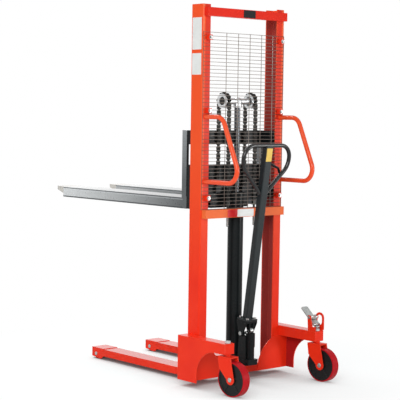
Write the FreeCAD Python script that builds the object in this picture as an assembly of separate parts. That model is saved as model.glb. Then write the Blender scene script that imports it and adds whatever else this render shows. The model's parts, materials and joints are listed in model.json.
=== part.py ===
import FreeCAD, Part
import math
import os

# Hand pallet stacker: C-channel mast on two straddle legs and two swivel casters, lifted by a hand pump,
# a ram and two chains. Millimetres, +Z up, forks towards +Y, +X to the operator's right. Sizes along Y are
# counted from the rear face of the mast columns; the finished pieces are moved so that the origin is on the
# floor under the middle of the whole. Heights are those of the photographed position, with the forks raised.

V = FreeCAD.Vector

# Clearances
overrun = 5.0
run_fit = 0.05
touch_gap = 0.3
side_play = 1.0

# Mast columns and crossbars
mast_height = 2000.0
mast_half = 295.5
column_depth = 90.0
column_width = 54.0
column_wall = 6.0
column_round = 7.0
crossbar_depth = 32.0
crossbar_height = 45.0
crossbar_wall = 3.0
crossbar_inset = 10.0
top_bar_drop = 18.0
middle_bar_top = 929.5

# Guard net, its clamps and bolts
guard_drop = 143.0
guard_edge = 3.0
guard_wire = 3.0
guard_row_count = 42
guard_column_count = 7
clamp_height_shares = (0.067, 0.558, 0.968)
clamp_inset = 35.5
clamp_width = 24.0
clamp_height = 28.0
clamp_depth = 22.0
clamp_bolt_radius = 4.0
clamp_head_radius = 8.0
clamp_head_length = 6.0
clamp_washer_radius = 11.0
clamp_washer = 2.0

# Hand grips
grip_radius = 12.5
grip_wall = 2.5
grip_inset = 22.5
grip_top = 1416.0
grip_bottom = 1078.0
grip_top_reach = 138.0
grip_bottom_reach = 290.0
grip_bend = 65.0

# Base: beam, side plates, caster arms and wheel arches
base_bottom = 32.0
base_top = 268.0
base_plate = 6.0
beam_top = 75.0
beam_wall = 5.0
arch_lead = 62.0
arch_radius = 142.0
arch_sheet = 4.0
arch_sheet_radius = 192.0
arm_end = 16.0
arm_width = 58.5
arm_bottom = 213.0
arm_wall = 5.0

# Legs and load rollers
leg_outer = 250.0
leg_width = 101.0
leg_front = 991.0
leg_bottom = 22.0
leg_top = 62.0
leg_wall = 6.0
nose_length = 106.0
nose_rise = 3.0
nose_bottom = 4.0
nose_bevel_rise = 9.0
nose_bevel_length = 73.0
nose_heel_length = 23.0
load_radius = 30.0
load_axle_inset = 40.0
load_axle_radius = 8.0
load_side_gap = 3.0
pin_head_radius_share = 1.3
pin_head = 3.0

# Lift cylinder and ram
lift_y = 47.5
cylinder_radius = 42.0
cylinder_bore = 35.0
gland_bottom = 985.0
gland_height = 28.0
gland_rim = 2.0
ram_radius = 16.0
ram_bottom = 600.0
strap_height = 30.0
strap_thick = 5.0

# Crosshead, pulleys and chains
axle_z = 1500.0
axle_radius = 10.0
axle_collar = 4.0
axle_collar_radius = 15.0
sleeve_radius = 17.0
socket_radius = 23.0
socket_drop = 34.0
socket_depth = 16.0
pulley_x = 96.0
pulley_width = 30.0
pulley_seat = 34.0
pulley_flange_rise = 5.0
pulley_flange = 3.0
pulley_recess_radius = 22.0
pulley_recess = 6.0
chain_pitch = 19.05
chain_width = 22.0
chain_depth = 12.0
chain_plate = 5.0
chain_roller_radius = 4.5
chain_waist_share = 0.62
rear_link_count = 28
front_link_count = 24
wrap_roller_count = 6
anchor_radius = 6.0
anchor_block_width = 22.0
anchor_block_depth = 14.0
anchor_block_height = 22.0
anchor_tail = 62.0
anchor_nut_radius = 10.0
anchor_nut = 9.0
chain_lug_width = 36.0
chain_lug_depth = 24.0
chain_lug_thick = 12.0
chain_lug_drop = 22.0

# Carriage, forks and rollers
carriage_half = 276.0
carriage_top = 1343.0
top_bar_height = 74.0
bar_depth = 34.0
bar_wall = 5.0
lower_top = 1160.0
lower_bottom = 928.0
hanger_thick = 4.0
upright_thick = 10.0
fork_width = 160.0
fork_top = 985.0
fork_height = 58.0
fork_wall = 6.0
fork_heel = 174.0
fork_reach = 1362.0
shank_depth = 39.0
fork_nose_length = 105.0
fork_nose_root_width = 140.0
fork_nose_root_height = 44.0
fork_nose_tip_width = 100.0
fork_nose_tip_height = 18.0
fork_nose_round = 9.0
fork_low = 90.0
notch_gap = 12.0
front_lug_height = 34.0
bracket_thick = 14.0
bracket_gap = 6.0
bracket_height = 74.0
bracket_rear = 24.0
roller_gap = 0.5
roller_width = 32.0
lower_roller_z = 1015.0
stub_radius = 14.0
stub_shoulder_radius = 19.0
stub_cap = 2.0

# Pump, rocker and tiller
block_half = 36.0
block_rear = 108.0
block_front = 90.0
block_top = 124.0
block_undercut = 19.0
pump_back = 84.0
barrel_radius = 22.5
barrel_top = 225.0
cup_radius = 25.2
cup_bottom = 190.0
cup_top = 264.0
cup_crown = 6.0
plunger_radius = 11.0
plunger_bottom = 165.0
rocker_back = 48.0
rocker_z = 262.0
rocker_pin_radius = 8.0
lug_inner = 26.0
lug_thick = 7.0
lug_eye_radius = 17.0
lug_front = 28.0
lug_rear = 34.0
cheek_thick = 6.0
pump_roller_radius = 14.0
pump_roller_width = 20.0
pump_roller_pin_radius = 6.0
roller_arm_thick = 6.0
roller_arm_radius = 10.0
tiller_lean = 8.3
plate_height = 62.0
plate_side = 76.0
plate_thick = 10.0
bolt_inset = 11.0
bolt_radius = 5.0
bolt_head_radius = 8.5
bolt_head = 7.0
shaft_width = 45.0
shaft_depth = 35.0
shaft_wall = 3.0
shaft_round = 5.0
tiller_length = 1018.0
loop_radius = 11.0
loop_wall = 2.5
loop_half = 165.0
loop_drop = 110.0
loop_height = 255.0
loop_top_bend = 66.0
loop_side_bend = 95.0
lever_drop = 78.0
lever_radius = 6.5
lever_hub_radius = 13.0
lever_hub = 14.0
lever_pin_radius = 4.0
lever_reach = 132.0
lever_elbow_share = 0.91
lever_fall = 75.0
lever_elbow_fall_share = 0.667
lever_bend = 24.0

# Casters
kingpin_width_share = 0.5214
kingpin_back = 262.0
kingpin_radius = 10.0
kingpin_nut_radius = 15.0
kingpin_nut = 11.0
bush_radius = 13.0
caster_trail = 46.0
caster_turn = 5.0
wheel_radius = 90.0
wheel_width = 48.0
tread_thick = 6.0
tread_round = 4.0
core_inset = 2.0
core_rim = 8.0
core_web = 38.0
core_hub_radius = 22.0
core_rib_count = 5
core_rib = 8.0
wheel_axle_radius = 7.5
axle_head_radius = 11.0
axle_head = 5.0
yoke_gap = 1.5
yoke_cheek = 4.0
yoke_eye_radius = 26.0
yoke_top = 203.0
yoke_plate = 7.0
yoke_front_reach = 40.0
yoke_rear_reach = 48.0
yoke_skirt = 54.0
yoke_skirt_set = 8.0
race_radius = 17.0
race_gap = 1.0

# Foot brake
brake_pin_lead = 31.0
brake_pin_z = 340.0
brake_pin_radius = 6.0
brake_boss_radius = 12.0
brake_cheek = 4.5
low_cheek_rise = 24.0
guard_eye_radius = 31.0
guard_eye_lead = 7.0
guard_eye_z = 335.0
guard_window_radius = 18.0
guard_window_low = 316.0
pedal_side_gap = 2.0
pedal_thick = 6.0
pedal_front = 83.0
pedal_rear = 43.5
pedal_under = 8.0
pedal_angle = 41.0
pedal_round = 8.0
pedal_nose_radius = 6.0
brake_stroke = 5.0
brake_gap = 0.7
brake_rod_radius = 5.0
brake_rod_play = 0.5
brake_foot_radius = 8.0
brake_foot_height = 6.0
brake_cap_radius = 15.0
brake_cap = 7.0

# Places that follow from the sizes above
guard_top = mast_height - guard_drop
base_half = mast_half + arm_width + base_plate
kingpin_x = mast_half + arm_width * kingpin_width_share
arm_reach = kingpin_back + arm_end
arch_back = kingpin_back - arch_lead
guard_eye_back = kingpin_back - guard_eye_lead
arch_z = arm_bottom - arch_radius
column_inner = mast_half - column_width
lowering = fork_top - fork_low
chain_radius = pulley_seat + touch_gap + chain_depth / 2
rear_anchor_z = axle_z - rear_link_count * chain_pitch
front_anchor_z = axle_z - front_link_count * chain_pitch
shank_rear = fork_heel - shank_depth
hanger_rear = shank_rear - hanger_thick
bar_rear = hanger_rear - bar_depth
nose_top = leg_top + nose_rise
roller_radius = column_depth / 2 - column_wall - roller_gap
upper_roller_z = carriage_top - top_bar_height / 2
load_y = leg_front - load_axle_inset
pump_roller_z = cup_top + touch_gap + pump_roller_radius
brake_half = kingpin_x - mast_half
brake_pin_back = kingpin_back - brake_pin_lead
turn = math.radians(caster_turn)
wheel_support = ((wheel_radius - tread_round) * math.cos(turn)
                 + (wheel_width / 2 - tread_round) * math.sin(turn) + tread_round)
rear_reach = kingpin_back + caster_trail * math.cos(turn) + wheel_support
centre_shift = (rear_reach - fork_reach) / 2


# Shapes used again and again
def box(x, y, z):
    return Part.makeBox(x[1] - x[0], y[1] - y[0], z[1] - z[0], V(x[0], y[0], z[0]))


def rod(radius, start, end):
    return Part.makeCylinder(radius, (end - start).Length, start, end - start)


def tube(radius, bore, start, end):
    along = (end - start).normalize() * overrun
    return rod(radius, start, end).cut(rod(bore, start - along, end + along))


def across(radius, x, y, z):
    return rod(radius, V(x[0], y, z), V(x[1], y, z))


def upright(radius, x, y, z):
    return rod(radius, V(x, y, z[0]), V(x, y, z[1]))


def plate_yz(points, x):
    wire = Part.makePolygon([V(x[0], y, z) for y, z in points + points[:1]])
    return Part.Face(wire).extrude(V(x[1] - x[0], 0, 0))


def fuse(shapes):
    return shapes[0].multiFuse(shapes[1:]).removeSplitter()


def mirrored(shape):
    return shape.mirror(V(0, 0, 0), V(1, 0, 0))


def on_side(shape, side):
    return shape if side > 0 else mirrored(shape)


def pair(shape):
    return Part.makeCompound([mirrored(shape), shape])


def edges_along(shape, axis):
    return [e for e in shape.Edges if abs(e.tangentAt(e.FirstParameter).dot(axis)) > 1 - 1e-6]


def hexagon(radius, base, along):
    turned = FreeCAD.Rotation(V(0, 0, 1), along)
    corners = [V(radius * math.cos(i * math.pi / 3), radius * math.sin(i * math.pi / 3), 0) for i in range(7)]
    face = Part.Face(Part.makePolygon([base + turned.multVec(c) for c in corners]))
    return face.extrude(along)


def rounded_path(points, bends):
    edges = []
    start = points[0]
    for before, corner, after, bend in zip(points, points[1:], points[2:], bends):
        into = (corner - before).normalize()
        out = (after - corner).normalize()
        half_turn = into.getAngle(out) / 2
        inwards = (out - into).normalize()
        reach = bend * math.tan(half_turn)
        middle = corner + inwards * (bend / math.cos(half_turn) - bend)
        edges.append(Part.LineSegment(start, corner - into * reach).toShape())
        edges.append(Part.Arc(corner - into * reach, middle, corner + out * reach).toShape())
        start = corner + out * reach
    edges.append(Part.LineSegment(start, points[-1]).toShape())
    return Part.Wire(edges)


def swept(path, radius):
    start = path.Edges[0].Vertexes[0].Point
    along = path.Edges[0].tangentAt(path.Edges[0].FirstParameter)
    circle = Part.Wire(Part.makeCircle(radius, start, along))
    return path.makePipeShell([circle], True, False)


def save(name, shape):
    placed = shape.copy()
    placed.translate(V(0, centre_shift, 0))
    placed.exportStep("parts/" + name + ".step")


# Mast
def mast_column():
    outer = box((column_inner, mast_half), (0, column_depth), (beam_top, mast_height))
    web_edges = [e for e in edges_along(outer, V(0, 0, 1)) if e.CenterOfMass.x > mast_half - column_wall]
    outer = outer.makeFillet(column_round, web_edges)
    hollow = box((column_inner - overrun, mast_half - column_wall), (column_wall, column_depth - column_wall),
                 (beam_top - overrun, mast_height + overrun))
    return outer.cut(hollow)


def crossbar(top):
    z = (top - crossbar_height, top)
    half = mast_half - crossbar_inset
    outer = box((-half, half), (-crossbar_depth, 0), z)
    inner = box((crossbar_wall - half, half - crossbar_wall),
                (crossbar_wall - crossbar_depth, -crossbar_wall),
                (z[0] + crossbar_wall, z[1] - crossbar_wall))
    return outer.cut(inner)


def chain_lug(side):
    x = side * pulley_x
    top = middle_bar_top - chain_lug_drop
    bottom = top - chain_lug_thick
    lug = box((x - chain_lug_width / 2, x + chain_lug_width / 2), (0, chain_lug_depth), (bottom, top))
    hole = upright(anchor_radius + run_fit, x, lift_y - chain_radius, (bottom - overrun, top + overrun))
    return lug.cut(hole)


def middle_crossbar():
    return fuse([crossbar(middle_bar_top), chain_lug(-1), chain_lug(1)])


# Guard net on the rear faces of the columns
def guard_half():
    return mast_half - guard_edge


def rectangle_xz(x, z):
    corners = [V(x[0], 0, z[0]), V(x[1], 0, z[0]), V(x[1], 0, z[1]), V(x[0], 0, z[1])]
    return Part.makePolygon(corners + corners[:1])


def guard_net():
    half = guard_half()
    column_pitch = (2 * half - guard_wire) / guard_column_count
    row_pitch = (guard_top - middle_bar_top - guard_wire) / guard_row_count
    wires = [rectangle_xz((-half, half), (middle_bar_top, guard_top))]
    for i in range(guard_column_count):
        left = -half + guard_wire + i * column_pitch
        for j in range(guard_row_count):
            low = middle_bar_top + guard_wire + j * row_pitch
            right = left + column_pitch - guard_wire
            wires.append(rectangle_xz((left, right), (low, low + row_pitch - guard_wire)))
    face = Part.makeFace(Part.makeCompound(wires), "Part::FaceMakerBullseye")
    net = face.extrude(V(0, -guard_wire, 0))
    x = mast_half - grip_inset
    ends = [rod(grip_radius + touch_gap, V(s * x, -grip_bend, z), V(s * x, overrun, z))
            for s in (-1, 1) for z in (grip_top, grip_bottom)]
    return net.cut(Part.makeCompound(ends))


def clamp_places():
    x = mast_half - clamp_inset
    rise = guard_top - middle_bar_top
    heights = [middle_bar_top + share * rise for share in clamp_height_shares]
    return [V(s * x, -guard_wire, z) for s in (-1, 1) for z in heights]


def guard_clamp(place):
    block = box((place.x - clamp_width / 2, place.x + clamp_width / 2), (place.y - clamp_depth, place.y),
                (place.z - clamp_height / 2, place.z + clamp_height / 2))
    hole = rod(clamp_bolt_radius + run_fit, place + V(0, overrun, 0), place - V(0, clamp_depth + overrun, 0))
    return block.cut(hole)


def guard_bolt(place):
    outer = place - V(0, clamp_depth, 0)
    washer_end = outer - V(0, clamp_washer, 0)
    shank = rod(clamp_bolt_radius, place, washer_end)
    washer = rod(clamp_washer_radius, outer, washer_end)
    head = hexagon(clamp_head_radius, washer_end, V(0, -clamp_head_length, 0))
    return fuse([shank, washer, head])


# Hand grips
def hand_grip():
    x = mast_half - grip_inset
    points = [V(x, 0, grip_top), V(x, -grip_top_reach, grip_top), V(x, -grip_bottom_reach, grip_bottom),
              V(x, 0, grip_bottom)]
    path = rounded_path(points, [grip_bend, grip_bend])
    return swept(path, grip_radius).cut(swept(path, grip_radius - grip_wall))


# Base
def base_beam():
    half = base_half - base_plate
    outer = box((-half, half), (0, column_depth), (base_bottom, beam_top))
    inner = box((-half - overrun, half + overrun), (beam_wall, column_depth - beam_wall),
                (base_bottom + beam_wall, beam_top - beam_wall))
    return outer.cut(inner)


def side_plate():
    x = (base_half - base_plate, base_half)
    sheet = box(x, (-arm_reach, column_depth), (base_bottom, base_top))
    wide = (x[0] - overrun, x[1] + overrun)
    low = base_bottom - overrun
    arch = fuse([across(arch_radius, wide, -arch_back, arch_z),
                 box(wide, (-arm_reach - overrun, -arch_back), (low, arm_bottom)),
                 box(wide, (-arch_back, arch_radius - arch_back), (low, arch_z))])
    fold = box((mast_half, x[0]), (column_depth - base_plate, column_depth), (beam_top, base_top))
    return fuse([sheet.cut(arch), fold])


def caster_arm():
    x = (mast_half, base_half - base_plate)
    y = (-arm_reach, column_depth - base_plate)
    outer = box(x, y, (arm_bottom, base_top))
    inner = box((x[0] + arm_wall, x[1] - arm_wall), (y[0] + arm_wall, y[1] + overrun),
                (arm_bottom + arm_wall, base_top - arm_wall))
    hole = upright(bush_radius, kingpin_x, -kingpin_back, (arm_bottom - overrun, base_top + overrun))
    return outer.cut(inner).cut(hole)


def wheel_arch():
    x = (kingpin_x - arch_sheet_radius, base_half - base_plate)
    sheet = box(x, (-arch_sheet, 0), (base_bottom, arm_bottom))
    rear = V(kingpin_x, -arch_sheet, base_bottom)
    return sheet.common(rod(arch_sheet_radius, rear, V(kingpin_x, 0, base_bottom)))


def kingpin_bush():
    low = V(kingpin_x, -kingpin_back, arm_bottom)
    high = V(kingpin_x, -kingpin_back, base_top)
    return tube(bush_radius, kingpin_radius + run_fit, low, high)


# Legs
def leg():
    x = (leg_outer - leg_width, leg_outer)
    inside = (x[0] + leg_wall, x[1] - leg_wall)
    nose_rear = leg_front - nose_length
    deck_end = load_y - load_radius - leg_wall
    channel = box(x, (column_depth, nose_rear), (leg_bottom, leg_top))
    channel = channel.cut(box(inside, (column_depth - overrun, nose_rear + overrun),
                              (leg_bottom - overrun, leg_top - leg_wall)))
    deck = box(x, (nose_rear, deck_end), (leg_top - leg_wall, leg_top))
    cap = box(x, (nose_rear, leg_front), (leg_top, nose_top))
    toe = box(x, (leg_front - leg_wall, leg_front), (nose_bottom + nose_bevel_rise, nose_top))
    outline = [(leg_front, nose_top), (leg_front, nose_bottom + nose_bevel_rise),
               (leg_front - nose_bevel_length, nose_bottom),
               (nose_rear + nose_heel_length, nose_bottom), (nose_rear, leg_bottom), (nose_rear, nose_top)]
    cheeks = [plate_yz(outline, (x[0], inside[0])), plate_yz(outline, (inside[1], x[1]))]
    bore = across(load_axle_radius + run_fit, (x[0] - overrun, x[1] + overrun), load_y, load_radius)
    return fuse([channel, deck, cap, toe] + cheeks).cut(bore)


def headed_pin(radius, x, y, z):
    head_radius = radius * pin_head_radius_share
    shank = across(radius, x, y, z)
    ends = ((x[0] - pin_head, x[0]), (x[1], x[1] + pin_head))
    heads = [across(head_radius, end, y, z) for end in ends]
    return fuse([shank] + heads)


def load_roller():
    x = (leg_outer - leg_width + leg_wall + load_side_gap, leg_outer - leg_wall - load_side_gap)
    roller = across(load_radius, x, load_y, load_radius)
    bore = across(load_axle_radius + run_fit, (x[0] - overrun, x[1] + overrun), load_y, load_radius)
    return roller.cut(bore)


# Lift cylinder, ram and crosshead
def lift_cylinder():
    return tube(cylinder_radius, cylinder_bore, V(0, lift_y, block_top), V(0, lift_y, gland_bottom))


def cylinder_gland():
    low = V(0, lift_y, gland_bottom)
    return tube(cylinder_radius + gland_rim, ram_radius + run_fit, low, low + V(0, 0, gland_height))


def cylinder_clamp():
    middle = middle_bar_top - crossbar_height / 2
    z = (middle - strap_height / 2, middle + strap_height / 2)
    outer = cylinder_radius + touch_gap + strap_thick
    ring = upright(outer, 0, lift_y, z)
    ears = box((-outer, outer), (0, lift_y), z)
    bore = upright(cylinder_radius + touch_gap, 0, lift_y, (z[0] - overrun, z[1] + overrun))
    behind = box((-2 * outer, 2 * outer), (-outer, 0), (z[0] - overrun, z[1] + overrun))
    return fuse([ring, ears]).cut(bore).cut(behind)


def ram_rod():
    return upright(ram_radius, 0, lift_y, (ram_bottom, axle_z - socket_drop + socket_depth))


def crosshead():
    half = pulley_x - pulley_width / 2 - side_play
    sleeve = across(sleeve_radius, (-half, half), lift_y, axle_z)
    low = axle_z - socket_drop
    socket = upright(socket_radius, 0, lift_y, (low, axle_z))
    dome = Part.makeSphere(socket_radius, V(0, lift_y, axle_z))
    body = fuse([sleeve, socket, dome])
    rod_hole = upright(ram_radius + run_fit, 0, lift_y, (low - overrun, low + socket_depth))
    axle_hole = across(axle_radius + run_fit, (-half - overrun, half + overrun), lift_y, axle_z)
    return body.cut(rod_hole).cut(axle_hole)


def pulley_axle():
    half = pulley_x + pulley_width / 2 - pulley_recess + side_play
    axle = across(axle_radius, (-half - axle_collar, half + axle_collar), lift_y, axle_z)
    collars = [across(axle_collar_radius, (-half - axle_collar, -half), lift_y, axle_z),
               across(axle_collar_radius, (half, half + axle_collar), lift_y, axle_z)]
    return fuse([axle] + collars)


def pulley():
    x = (pulley_x - pulley_width / 2, pulley_x + pulley_width / 2)
    flange_radius = pulley_seat + pulley_flange_rise
    seat = across(pulley_seat, x, lift_y, axle_z)
    flanges = [across(flange_radius, (x[0], x[0] + pulley_flange), lift_y, axle_z),
               across(flange_radius, (x[1] - pulley_flange, x[1]), lift_y, axle_z)]
    bore = across(axle_radius + run_fit, (x[0] - overrun, x[1] + overrun), lift_y, axle_z)
    recess = across(pulley_recess_radius, (x[1] - pulley_recess, x[1] + overrun), lift_y, axle_z)
    return fuse([seat] + flanges).cut(bore).cut(recess)


# Leaf chains: a strand hangs down from z_top at y, links counted downwards
def leaf_places(x):
    return (x - chain_width / 2, x - chain_plate / 2, x + chain_width / 2 - chain_plate)


def chain_side(x, y, z_top, link_count):
    half = chain_depth / 2
    waist = half * chain_waist_share
    rise = math.sqrt(half ** 2 - waist ** 2)
    edges = []
    last = None
    for side in (1, -1):
        order = range(link_count) if side > 0 else reversed(range(link_count))
        for i in order:
            pin_z = z_top - (i + 1) * chain_pitch + chain_pitch / 2
            ends = [V(x, y + side * waist, pin_z + side * rise), V(x, y + side * waist, pin_z - side * rise)]
            if last is not None:
                edges.append(Part.LineSegment(last, ends[0]).toShape())
            edges.append(Part.Arc(ends[0], V(x, y + side * half, pin_z), ends[1]).toShape())
            last = ends[1]
        foot = z_top - link_count * chain_pitch if side > 0 else z_top
        corners = [V(x, y + side * waist, foot), V(x, y - side * waist, foot)]
        for corner in corners:
            edges.append(Part.LineSegment(last, corner).toShape())
            last = corner
    first = edges[0].Vertexes[0].Point
    edges.append(Part.LineSegment(last, first).toShape())
    return Part.Face(Part.Wire(edges)).extrude(V(chain_plate, 0, 0))


def chain_strand(side, y, z_top, link_count):
    x = side * pulley_x
    inner = chain_width / 2 - chain_plate
    plates = [chain_side(left, y, z_top, link_count) for left in leaf_places(x)]
    heights = [z_top - (i + 1) * chain_pitch + chain_pitch / 2 for i in range(link_count)]
    rollers = [across(chain_roller_radius, (x - inner, x + inner), y, z) for z in heights]
    return fuse(plates + rollers)


def chain_wrap(side):
    x = side * pulley_x
    inner = chain_width / 2 - chain_plate
    near = chain_radius - chain_depth / 2
    far = chain_radius + chain_depth / 2
    upper = box((x - chain_width, x + chain_width), (lift_y - far, lift_y + far), (axle_z, axle_z + far))
    plates = []
    for left in leaf_places(x):
        ring = across(far, (left, left + chain_plate), lift_y, axle_z)
        ring = ring.cut(across(near, (left - overrun, left + chain_plate + overrun), lift_y, axle_z))
        plates.append(ring.common(upper))
    angles = [math.pi * (i + 1 / 2) / wrap_roller_count for i in range(wrap_roller_count)]
    rollers = [across(chain_roller_radius, (x - inner, x + inner), lift_y + chain_radius * math.cos(a),
                      axle_z + chain_radius * math.sin(a)) for a in angles]
    return fuse(plates + rollers)


def rear_anchor(side):
    x = side * pulley_x
    y = lift_y - chain_radius
    lug_top = middle_bar_top - chain_lug_drop
    nut_top = lug_top - chain_lug_thick
    block = box((x - anchor_block_width / 2, x + anchor_block_width / 2),
                (y - chain_depth / 2, y + anchor_block_depth / 2),
                (rear_anchor_z - anchor_block_height, rear_anchor_z))
    bolt = upright(anchor_radius, x, y, (nut_top - anchor_tail, rear_anchor_z - anchor_block_height))
    nut = hexagon(anchor_nut_radius, V(x, y + (anchor_nut_radius - y) * (y < anchor_nut_radius), nut_top),
                  V(0, 0, -anchor_nut))
    return fuse([block, bolt, nut])


# Carriage and forks
def leg_notch(y):
    top = nose_top + lowering + notch_gap
    x = (leg_outer - leg_width - notch_gap, leg_outer + notch_gap)
    return box(x, (y[0] - overrun, y[1] + overrun), (lower_bottom - overrun, top))


def hollow_bar(z):
    y = (bar_rear, hanger_rear)
    outer = box((-carriage_half, carriage_half), y, z)
    inner = box((bar_wall - carriage_half, carriage_half - bar_wall), (y[0] + bar_wall, y[1] - bar_wall),
                (z[0] + bar_wall, z[1] - bar_wall))
    return outer.cut(inner)


def front_lug(side):
    x = side * pulley_x
    return box((x - chain_lug_width / 2, x + chain_lug_width / 2),
               (lift_y + chain_radius - chain_depth / 2, bar_rear),
               (front_anchor_z - front_lug_height, front_anchor_z))


def lower_plate():
    y = (bar_rear, hanger_rear)
    notch = leg_notch(y)
    bar = hollow_bar((lower_bottom, lower_top)).cut(notch).cut(mirrored(notch))
    return fuse([bar, front_lug(-1), front_lug(1)])


def hanger_plate():
    y = (hanger_rear, shank_rear)
    plate = box((carriage_half - fork_width, carriage_half), y, (lower_bottom, lower_top)).cut(leg_notch(y))
    strip = box((carriage_half - upright_thick, carriage_half), y, (lower_top, carriage_top))
    return fuse([plate, strip])


def fork():
    x = (carriage_half - fork_width, carriage_half)
    inside = (x[0] + fork_wall, x[1] - fork_wall)
    bottom = fork_top - fork_height
    straight = fork_reach - fork_nose_length
    under = (bottom - overrun, fork_top - fork_wall)
    blade = box(x, (shank_rear, straight), (bottom, fork_top))
    blade = blade.cut(box(inside, (shank_rear - overrun, straight - fork_wall), under))
    shank = box(x, (shank_rear, fork_heel), (bottom, lower_top))
    shank = shank.cut(box(inside, (shank_rear - overrun, fork_heel - fork_wall),
                          (bottom - overrun, lower_top - fork_wall)))
    shank = shank.cut(box(inside, (shank_rear - overrun, fork_heel + overrun), under))
    cheek = box((x[1] - upright_thick, x[1]), (shank_rear, fork_heel), (lower_top, carriage_top))
    return fuse([blade, shank, cheek, fork_nose(x, straight)])


def fork_nose(x, straight):
    middle = (x[0] + x[1]) / 2
    sections = []
    ends = ((straight, fork_nose_root_width, fork_nose_root_height),
            (fork_reach, fork_nose_tip_width, fork_nose_tip_height))
    for y, width, height in ends:
        low = fork_top - height
        left = middle - width / 2
        right = middle + width / 2
        corners = [V(left, y, low), V(right, y, low), V(right, y, fork_top), V(left, y, fork_top)]
        sections.append(Part.makePolygon(corners + corners[:1]))
    wedge = Part.makeLoft(sections, True, True)
    tip_edges = [e for e in wedge.Edges if abs(e.CenterOfMass.y - fork_reach) < fork_wall]
    tip_edges = [e for e in tip_edges if e.BoundBox.ZLength > fork_wall]
    return wedge.makeFillet(fork_nose_round, tip_edges)


def roller_bracket(side, z):
    outer_x = column_inner - bracket_gap
    web_x = mast_half - column_wall
    y = column_depth / 2
    plate = box((outer_x - bracket_thick, outer_x), (bracket_rear, bar_rear),
                (z - bracket_height / 2, z + bracket_height / 2))
    roller_end = roller_middle() + roller_width / 2
    shoulder = across(stub_shoulder_radius, (outer_x, roller_end - roller_width - side_play), y, z)
    cap_end = min(roller_end + side_play + stub_cap, web_x)
    stub = across(stub_radius, (outer_x, cap_end), y, z)
    cap = across(stub_shoulder_radius, (roller_end + side_play, cap_end), y, z)
    return on_side(fuse([plate, shoulder, stub, cap]), side)


def roller_middle():
    return (column_inner + mast_half - column_wall) / 2


def carriage_roller(side, z):
    x = (roller_middle() - roller_width / 2, roller_middle() + roller_width / 2)
    y = column_depth / 2
    bore = across(stub_radius + run_fit, (x[0] - overrun, x[1] + overrun), y, z)
    return on_side(across(roller_radius, x, y, z).cut(bore), side)


# Pump
def pump_block():
    block = box((-block_half, block_half), (-block_rear, block_front), (beam_top, block_top))
    block = block.makeFillet(column_round, edges_along(block, V(0, 0, 1)))
    wide = (-block_half - overrun, block_half + overrun)
    under = (beam_top - overrun, beam_top + block_undercut)
    return block.cut(box(wide, (-block_rear - overrun, 0), under))


def pump_barrel():
    low = V(0, -pump_back, block_top)
    return tube(barrel_radius, plunger_radius + run_fit, low, low + V(0, 0, barrel_top - block_top))


def pump_plunger():
    cup = upright(cup_radius, 0, -pump_back, (cup_bottom, cup_top))
    hollow = upright(barrel_radius + touch_gap, 0, -pump_back, (cup_bottom - overrun, cup_top - cup_crown))
    stem = upright(plunger_radius, 0, -pump_back, (plunger_bottom, cup_top))
    return fuse([cup.cut(hollow), stem])


def pivot_lug():
    x = (lug_inner, lug_inner + lug_thick)
    rear = -rocker_back - lug_rear
    foot = plate_yz([(rear, block_top), (lug_front - rocker_back, block_top),
                     (lug_eye_radius - rocker_back, rocker_z), (-lug_eye_radius - rocker_back, rocker_z),
                     (rear, rocker_z - lug_eye_radius)], x)
    eye = across(lug_eye_radius, x, -rocker_back, rocker_z)
    bore = across(rocker_pin_radius + run_fit, (x[0] - overrun, x[1] + overrun), -rocker_back, rocker_z)
    return fuse([foot, eye]).cut(bore)


# Tiller pieces are drawn upright about the rocker pin and then leaned back
def leaned(shape):
    turned = shape.copy()
    turned.rotate(V(0, 0, 0), V(1, 0, 0), tiller_lean)
    turned.translate(V(0, -rocker_back, rocker_z))
    return turned


def unlean(y, z):
    a = math.radians(tiller_lean)
    dy = y + rocker_back
    dz = z - rocker_z
    return dy * math.cos(a) + dz * math.sin(a), dz * math.cos(a) - dy * math.sin(a)


def rocker():
    half = plate_side / 2
    top = box((-half, half), (-half, half), (plate_height, plate_height + plate_thick))
    cheek_in = lug_inner + lug_thick + side_play
    eye_y, eye_z = unlean(-pump_back, pump_roller_z)
    outline = [(-half, plate_height), (half, plate_height), (lug_eye_radius, 0), (-lug_eye_radius, 0)]
    pieces = [top]
    for side in (-1, 1):
        cheek_x = sorted((side * cheek_in, side * (cheek_in + cheek_thick)))
        pieces.append(plate_yz(outline, cheek_x))
        pieces.append(across(lug_eye_radius, cheek_x, 0, 0))
        arm_in = pump_roller_width / 2 + side_play
        arm_x = sorted((side * arm_in, side * (arm_in + roller_arm_thick)))
        pieces.append(plate_yz([(-half, plate_height), (0, plate_height), (eye_y + roller_arm_radius, eye_z),
                                (eye_y - roller_arm_radius, eye_z)], arm_x))
        pieces.append(across(roller_arm_radius, arm_x, eye_y, eye_z))
    wide = (-plate_side, plate_side)
    pin_bore = across(rocker_pin_radius + run_fit, wide, 0, 0)
    roller_bore = across(pump_roller_pin_radius, wide, eye_y, eye_z)
    body = fuse(pieces).cut(pin_bore).cut(roller_bore)
    return leaned(body.cut(Part.makeCompound(bolt_holes())))


def bolt_places():
    reach = plate_side / 2 - bolt_inset
    return [V(sx * reach, sy * reach, 0) for sx in (-1, 1) for sy in (-1, 1)]


def bolt_holes():
    z = (plate_height - overrun, plate_height + 2 * plate_thick + overrun)
    return [upright(bolt_radius + run_fit, p.x, p.y, z) for p in bolt_places()]


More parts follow.
